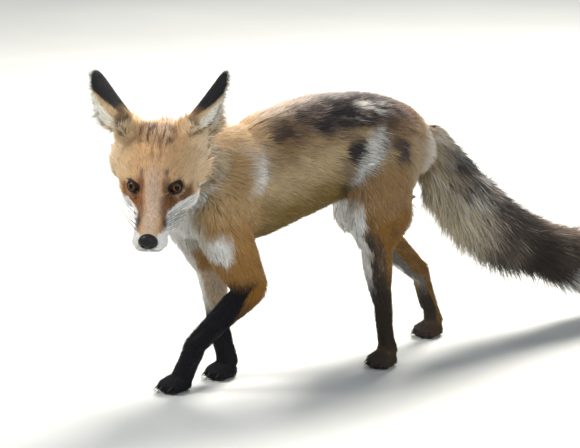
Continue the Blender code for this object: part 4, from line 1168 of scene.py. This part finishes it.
def hair_on(name, labels, count, width, stir):
    """Grows the locks of one area of the coat."""
    faces = np.nonzero(np.isin(triangle_labels, labels) & ~bald)[0]
    chosen, inside = spread_on(faces, count)
    row_of = np.zeros(len(triangles), np.int64)
    row_of[faces] = np.arange(len(faces))
    roots = (points[triangles[chosen]] * inside[..., None]).sum(1)
    skin_normals = unit((normals[triangles[chosen]] * inside[..., None]).sum(1))
    spots = (own_unwrap(faces)[row_of[chosen]] * inside[..., None]).sum(1)
    shares, lie, depth, length = coat_at(roots)
    lie = hair_way(roots, skin_normals, lie, shares)
    if "ear" in labels:
        lie, depth, length = ear_hair(roots, skin_normals, lie, depth, length)
    lie = unit(lie - dot(lie, skin_normals)[:, None] * skin_normals)
    swing = stir * (.30 * cloud(roots, .011, 21) + .17 * cloud(roots, .004, 22)) + draw.normal(0, .10, count)
    swing = np.clip(swing, -MOST_SWING, MOST_SWING)[:, None]
    lie = lie * np.cos(swing) + np.cross(skin_normals, lie) * np.sin(swing)

    # how long the hair is, and how steeply it stands
    own = roots - OWN_AXES
    fringe = brush_fringe(roots, skin_normals, shares)
    length = length * np.clip(draw.normal(1.0, .16, count), .6, 1.45)
    depth = depth * np.clip(draw.normal(1.0, .14, count) + .18 * cloud(roots, .008, 23), .5, 1.35)
    root_top = (brush_share(roots) < .22) * ramp(skin_normals[:, 2], .1, .6) * share_of(shares, "brush")
    depth, length = depth * (1 - .60 * root_top), length * (1 - .32 * root_top)
    length = length * (1 + .30 * fringe) * (1 - .45 * patch(own, *THIGH_EDGE))
    slope = depth / length * (1 - .62 * share_of(shares, "cheek")) + .38 * fringe + .14 * ear_foot(roots)
    slope = np.clip(slope, .05, .56 + .34 * np.maximum(fringe, on_ears(roots)[0]))
    for centre, reach, steeper, longer in GROOMED:
        here = patch(own, centre, reach)
        slope, length = slope * (1 + steeper * here), length * (1 + longer * here)
    flare = patch(in_head(roots), (-.048, -.058, -.002), (.014, .016, .020))
    slope, length = slope + .26 * flare, length * (1 + .40 * flare)
    rise = np.arcsin(np.clip(slope * 1.35, 0, .93))
    beyond = (slope - WIDEST * np.sin(rise)) / (1 - WIDEST)
    rises = np.array((rise, np.arcsin(np.clip(beyond, -.05, .9))))

    # the colour of each lock at its foot, middle and tip, some much paler or darker than the rest
    tone, fleck = markings(roots, skin_normals)
    tone = tone * np.exp(draw.normal(0, .09, count) + .10 * cloud(roots, .005, 24))[:, None]
    chance = draw.random(count)
    pale = (chance < .20 * fleck)[:, None]
    dark = (chance > 1 - .22 * fleck)[:, None]
    body = np.where(pale, tone * .9 + .05, np.where(dark, tone * .55, tone))
    tip = np.where(pale, tone * .35 + np.array((.62, .57, .50)) * .65, tone * np.where(dark, .35, 1.12))
    tones = np.clip(tone * .70, 0, .9), np.clip(body, 0, .9), np.clip(tip, 0, .92)
    widths = width * np.clip(draw.normal(1, .22, count), .5, 1.7)
    full = .85 if "ear" in labels else .25
    return lock_mesh(name, roots, skin_normals, lie, length, rises, widths, tones, spots, full)


AREAS = (                        # (name, areas of the table, locks, width in metres, stir)
    ("coat_face", ("muzzle", "face"), 28000, .00060, .55),
    ("coat_crown", ("crown", "cheek", "throat"), 22000, .00080, .8),
    ("coat_ears", ("ear",), 18000, .00055, .6),
    ("coat_neck", ("neck", "chest", "shoulder"), 32000, .00100, 1.0),
    ("coat_trunk", ("loins", "belly"), 31000, .00100, 1.0),
    ("coat_haunch", ("rump", "thigh"), 30000, .00100, 1.0),
    ("coat_forelegs", ("fore_leg", "fore_paw"), 16000, .00075, .35),
    ("coat_hind_legs", ("shank", "hock", "hind_paw"), 18000, .00080, .5),
    ("coat_brush", ("brush",), 28000, .00120, .8),
    ("coat_brush_end", ("brush_end",), 26000, .00130, .8),
)
guard_hair = coat_material("guard_hair", 700.0, 0.25, 0.0, 0.04)
for name, labels, count, width, stir in AREAS:
    locks = new_object(name, hair_on(name, labels, count, width, stir))
    locks.data.materials.append(guard_hair)
    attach(locks, "root")


# ---- The eyes ----
# Each eyeball is a smooth ball with the clear bulge of its cornea ahead. The iris is dark amber with
# fine spokes and a dark outer ring, round a tall pupil; the rest of the ball is nearly black.
def ball(name, segments=48, rings=32):
    """A smooth ball of radius one at the origin, and its points."""
    bpy.ops.object.select_all(action="DESELECT")
    bpy.ops.mesh.primitive_uv_sphere_add(segments=segments, ring_count=rings, radius=1.0)
    made = bpy.context.object
    made.name = name
    bpy.ops.object.shade_smooth()
    return made, points_of(made)[0]


def settle(obj, spots, centre, axes, radii):
    """Gives a ball its radii along its own axes (the last one is its pole), and its place."""
    set_points(obj, centre + spots @ (np.array(axes) * np.array(radii)[:, None]))


IRIS = (                         # (share of the way out, colour)
    (0.0, (.110, .042, .009)), (.44, (.150, .060, .012)), (.60, (.100, .038, .008)),
    (.72, (.028, .011, .004)), (.80, (.008, .005, .003)), (1.0, (.008, .005, .004)))


def vector_node(tree, operation, inputs):
    """A node that works on a direction."""
    return add_node(tree, "VectorMath", inputs, operation=operation).outputs


def eye_material(name, sign):
    """The eye's finish, drawn round its own axis."""
    made, tree, shader = new_material(name, {
        "Roughness": 0.10, "Coat Weight": 0.06, "Coat Roughness": 0.02, "Specular IOR Level": 0.08})
    centre, out, _, up = eye_axes(sign)
    turn = Matrix((unit(np.cross(up, out)), up, out))
    centred = add_node(tree, "Mapping", {
        "Vector": add_node(tree, "TexCoord", {}).outputs["Object"],
        "Rotation": turn.to_euler(), "Location": -(turn @ Vector(centre))})
    apart = add_node(tree, "SeparateXYZ", {0: centred.outputs["Vector"]}).outputs
    flat = add_node(tree, "CombineXYZ", {"X": apart["X"], "Y": apart["Y"]}).outputs[0]
    reach = vector_node(tree, "LENGTH", {0: flat})["Value"]
    iris = colour_stops(tree, map_range(tree, reach, 0.0, 0.0080), IRIS)
    spoke = vector_node(tree, "NORMALIZE", {0: flat})["Vector"]
    spokes = add_node(tree, "TexNoise", {"Vector": spoke, "Scale": 9.0, "Detail": 3.0}).outputs["Fac"]
    lit = vector_node(tree, "SCALE", {0: iris, "Scale": map_range(tree, spokes, .3, .7, .55, 1.35)})["Vector"]
    narrow = vector_node(tree, "MULTIPLY", {0: flat, 1: (1.30, 1.0, 0.0)})["Vector"]
    pupil = map_range(tree, vector_node(tree, "LENGTH", {0: narrow})["Value"], 0.0036, 0.0041)
    tones = {"Factor": pupil, 6: (.003, .003, .004, 1), 7: lit}
    connect(tree, shader, {"Base Color": add_node(tree, "Mix", tones, data_type="RGBA").outputs[2]})
    return made


for sign, side in ((1, "left"), (-1, "right")):
    centre, out, _, up = eye_axes(sign)
    across = unit(np.cross(up, out))
    eye, spots = ball("eyeball_" + side)
    tilt = np.arccos(np.clip(spots[:, 2], -1, 1))
    cornea = 1 + .085 * ramp(tilt, math.radians(40), math.radians(5))
    settle(eye, spots * cornea[:, None], centre, (across, np.cross(out, across), out), (EYE_RADIUS,) * 3)
    eye.data.materials.append(eye_material("eye_" + side, sign))
    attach(eye, "root")
    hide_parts("eye_" + side)


# ---- The nose ----
# A bare pad of black, finely pebbled leather with two comma-shaped nostrils and a groove between
# them that runs down to the lip; it is always a little wet.
def hollow(x, z, width, height):
    """A round hollow or swelling of that width and height: 1 at its middle, falling to 0."""
    return np.exp(-((x / width) ** 2 + (z / height) ** 2))


nose, spots = ball("nose", 96, 64)
out, front, z = np.abs(spots[:, 0]), spots[:, 1] < 0, spots[:, 2]
dent = .42 * hollow(out - .44, z + .06, .17, .17) * front
slit = .26 * hollow(out - .78, z + .24 + .25 * (out - .78), .24, .09) * (spots[:, 1] < .3)
groove = .10 * np.exp(-(out / .055) ** 2) * ramp(z, .25, -.1) * front
wing = .07 * hollow(out - .62, z - .26, .22, .22) * front
square = 1 + .07 * (out ** 4 + np.abs(z) ** 4)
spots = spots * (square + wing - groove)[:, None] + np.stack([0 * out, dent + slit, 0 * out], 1)
settle(nose, spots, from_head(NOSE), HEAD[:3, :3].T, (.0112, .0092, .0100))
leather, tree, shader = new_material(
    "nose_leather", {"Coat Weight": 0.12, "Coat Roughness": 0.20, "Specular IOR Level": 0.20})
damp = grain(tree, 260.0)
place = add_node(tree, "TexCoord", {}).outputs["Object"]
pebbles = add_node(tree, "TexVoronoi", {"Vector": place, "Scale": 1500.0}).outputs["Distance"]
relief = add_node(tree, "Bump", {"Strength": .6, "Distance": .0004, "Height": pebbles})
connect(tree, shader, {
    "Base Color": colour_stops(tree, damp, ((0, (.004, .004, .005)), (1, (.014, .013, .014)))),
    "Roughness": map_range(tree, damp, 0.0, 1.0, .30, .55), "Normal": relief.outputs["Normal"]})
nose.data.materials.append(leather)
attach(nose, "root")
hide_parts("nose_leather")


# ---- The whiskers ----
# Stiff tapering bristles in four rows on each upper lip, mostly black, the lowest ones pale.
def bristle(bm, start, way, bow, length, thick, tone, sides=5, steps=7):
    """One tapering bristle that bows as it leaves the lip, painted all over."""
    start, way, bow = Vector(start), Vector(way).normalized(), Vector(bow)
    across = way.orthogonal().normalized()
    above = way.cross(across)
    rings = []
    for k in range(steps):
        share = k / steps
        middle = start + way * (length * share) + bow * (length * share * share)
        radius = thick * (1 - share) ** .8 + .00004
        rings.append([bm.verts.new(middle + (across * math.cos(t) + above * math.sin(t)) * radius)
                      for t in (2 * math.pi * j / sides for j in range(sides))])
    tip = bm.verts.new(start + way * length + bow * length)
    bridge(bm, rings)
    for j in range(sides):
        bm.faces.new((rings[-1][j], rings[-1][(j + 1) % sides], tip))
    bm.faces.new(rings[0][::-1])
    paint = bm.verts.layers.float_color.get("coat")
    for vert in (*itertools.chain(*rings), tip):
        vert[paint] = (*tone, 1.0)


def bristle_piece(name, bm, finish):
    """Makes a set of bristles or claws one smooth piece."""
    for face in bm.faces:
        face.smooth = True
    made = new_object(name, mesh_of(name, bm))
    made.data.materials.append(finish)
    return made


bristles = coat_material("whisker", 500.0, 0.2, 0.0, 0.0)
BRISTLE_HALF_WIDTH = .00022
DARK_BRISTLE, PALE_BRISTLE = (.012, .010, .010), (.62, .60, .56)
for sign, side in ((1, "left"), (-1, "right")):
    dark_rows = 3 if sign > 0 else 2
    bm = bmesh.new()
    bm.verts.layers.float_color.new("coat")
    for row, column in itertools.product(range(4), range(4)):
        y, z = -.140 + .0085 * column + .002 * row, .0035 - .0042 * row
        start = from_head((sign * (.0165 + .0011 * column), y, z))
        way = head_way((sign * (.75 + draw.normal(0, .06)), .62 + draw.normal(0, .06),
                        .16 - .20 * row + draw.normal(0, .05)))
        tone = DARK_BRISTLE if row < dark_rows else PALE_BRISTLE
        length = .028 + .0055 * column + draw.random() * .007
        bristle(bm, start, way, head_way((-sign * .10, .16, -.13)), length, BRISTLE_HALF_WIDTH, tone)
    whiskers = bristle_piece("whiskers_" + side, bm, bristles)
    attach(whiskers, "root")

# ---- The claws and pads ----
# Four blunt, slightly hooked claws of dark horn on each paw, and the bare pads that it stands on.
horn, tree, shader = new_material("horn", {"Specular IOR Level": 0.12})
streaky = grain(tree, 420.0, 3.0)
connect(tree, shader, {
    "Base Color": colour_stops(tree, streaky, ((0, (.016, .013, .011)), (1, (.055, .042, .032)))),
    "Roughness": map_range(tree, streaky, 0.0, 1.0, .6, .8)})
PAWS = (                         # (name, place, heading in degrees)
    ("fore_paw_left", (-.014, -.150), -6), ("fore_paw_right", (-.030, -.066), -3),
    ("hind_paw_left", (.052, .139), 5), ("hind_paw_right", (-.029, .286), 0))
TOES = ((-1.5, .72), (-.5, 1.0), (.5, 1.0), (1.5, .72))      # (place across, how far ahead)
CLAW_LENGTH, CLAW_HALF_WIDTH = .0082, .0015
PAD_HEIGHT, PAD_HALF_THICKNESS = .0030, .0029
UP = np.array((0, 0, 1.0))
for name, place, heading in PAWS:
    heading = math.radians(heading)
    ahead = np.array((math.sin(heading), -math.cos(heading), 0))
    aside = np.array((math.cos(heading), math.sin(heading), 0))
    paw = np.array((*place, 0)) + OWN_AXES
    bm = bmesh.new()
    bm.verts.layers.float_color.new("coat")
    pads = [(paw + ahead * .004, (.0088, .0072))]
    for k, reach in TOES:
        start = paw + ahead * .032 * reach + aside * .0098 * k + ahead * .0003 + UP * .0098
        way = ahead + aside * .06 * k - UP * .30
        bristle(bm, start, way, -UP * .42, CLAW_LENGTH, CLAW_HALF_WIDTH, (.05, .04, .03), 8, 6)
        pads.append((paw + ahead * (.0215 + .024 * (reach - .86)) + aside * .0088 * k, (.0040, .0056)))
    claws = bristle_piece("claws_" + name, bm, horn)
    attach(claws, "root")
    for centre, radii in pads:
        pad, spots = ball("pad_" + name, 20, 12)
        settle(pad, spots, centre + UP * PAD_HEIGHT, (aside, ahead, UP), (*radii, PAD_HALF_THICKNESS))
        pad.data.materials.append(leather)
        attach(pad, "root")
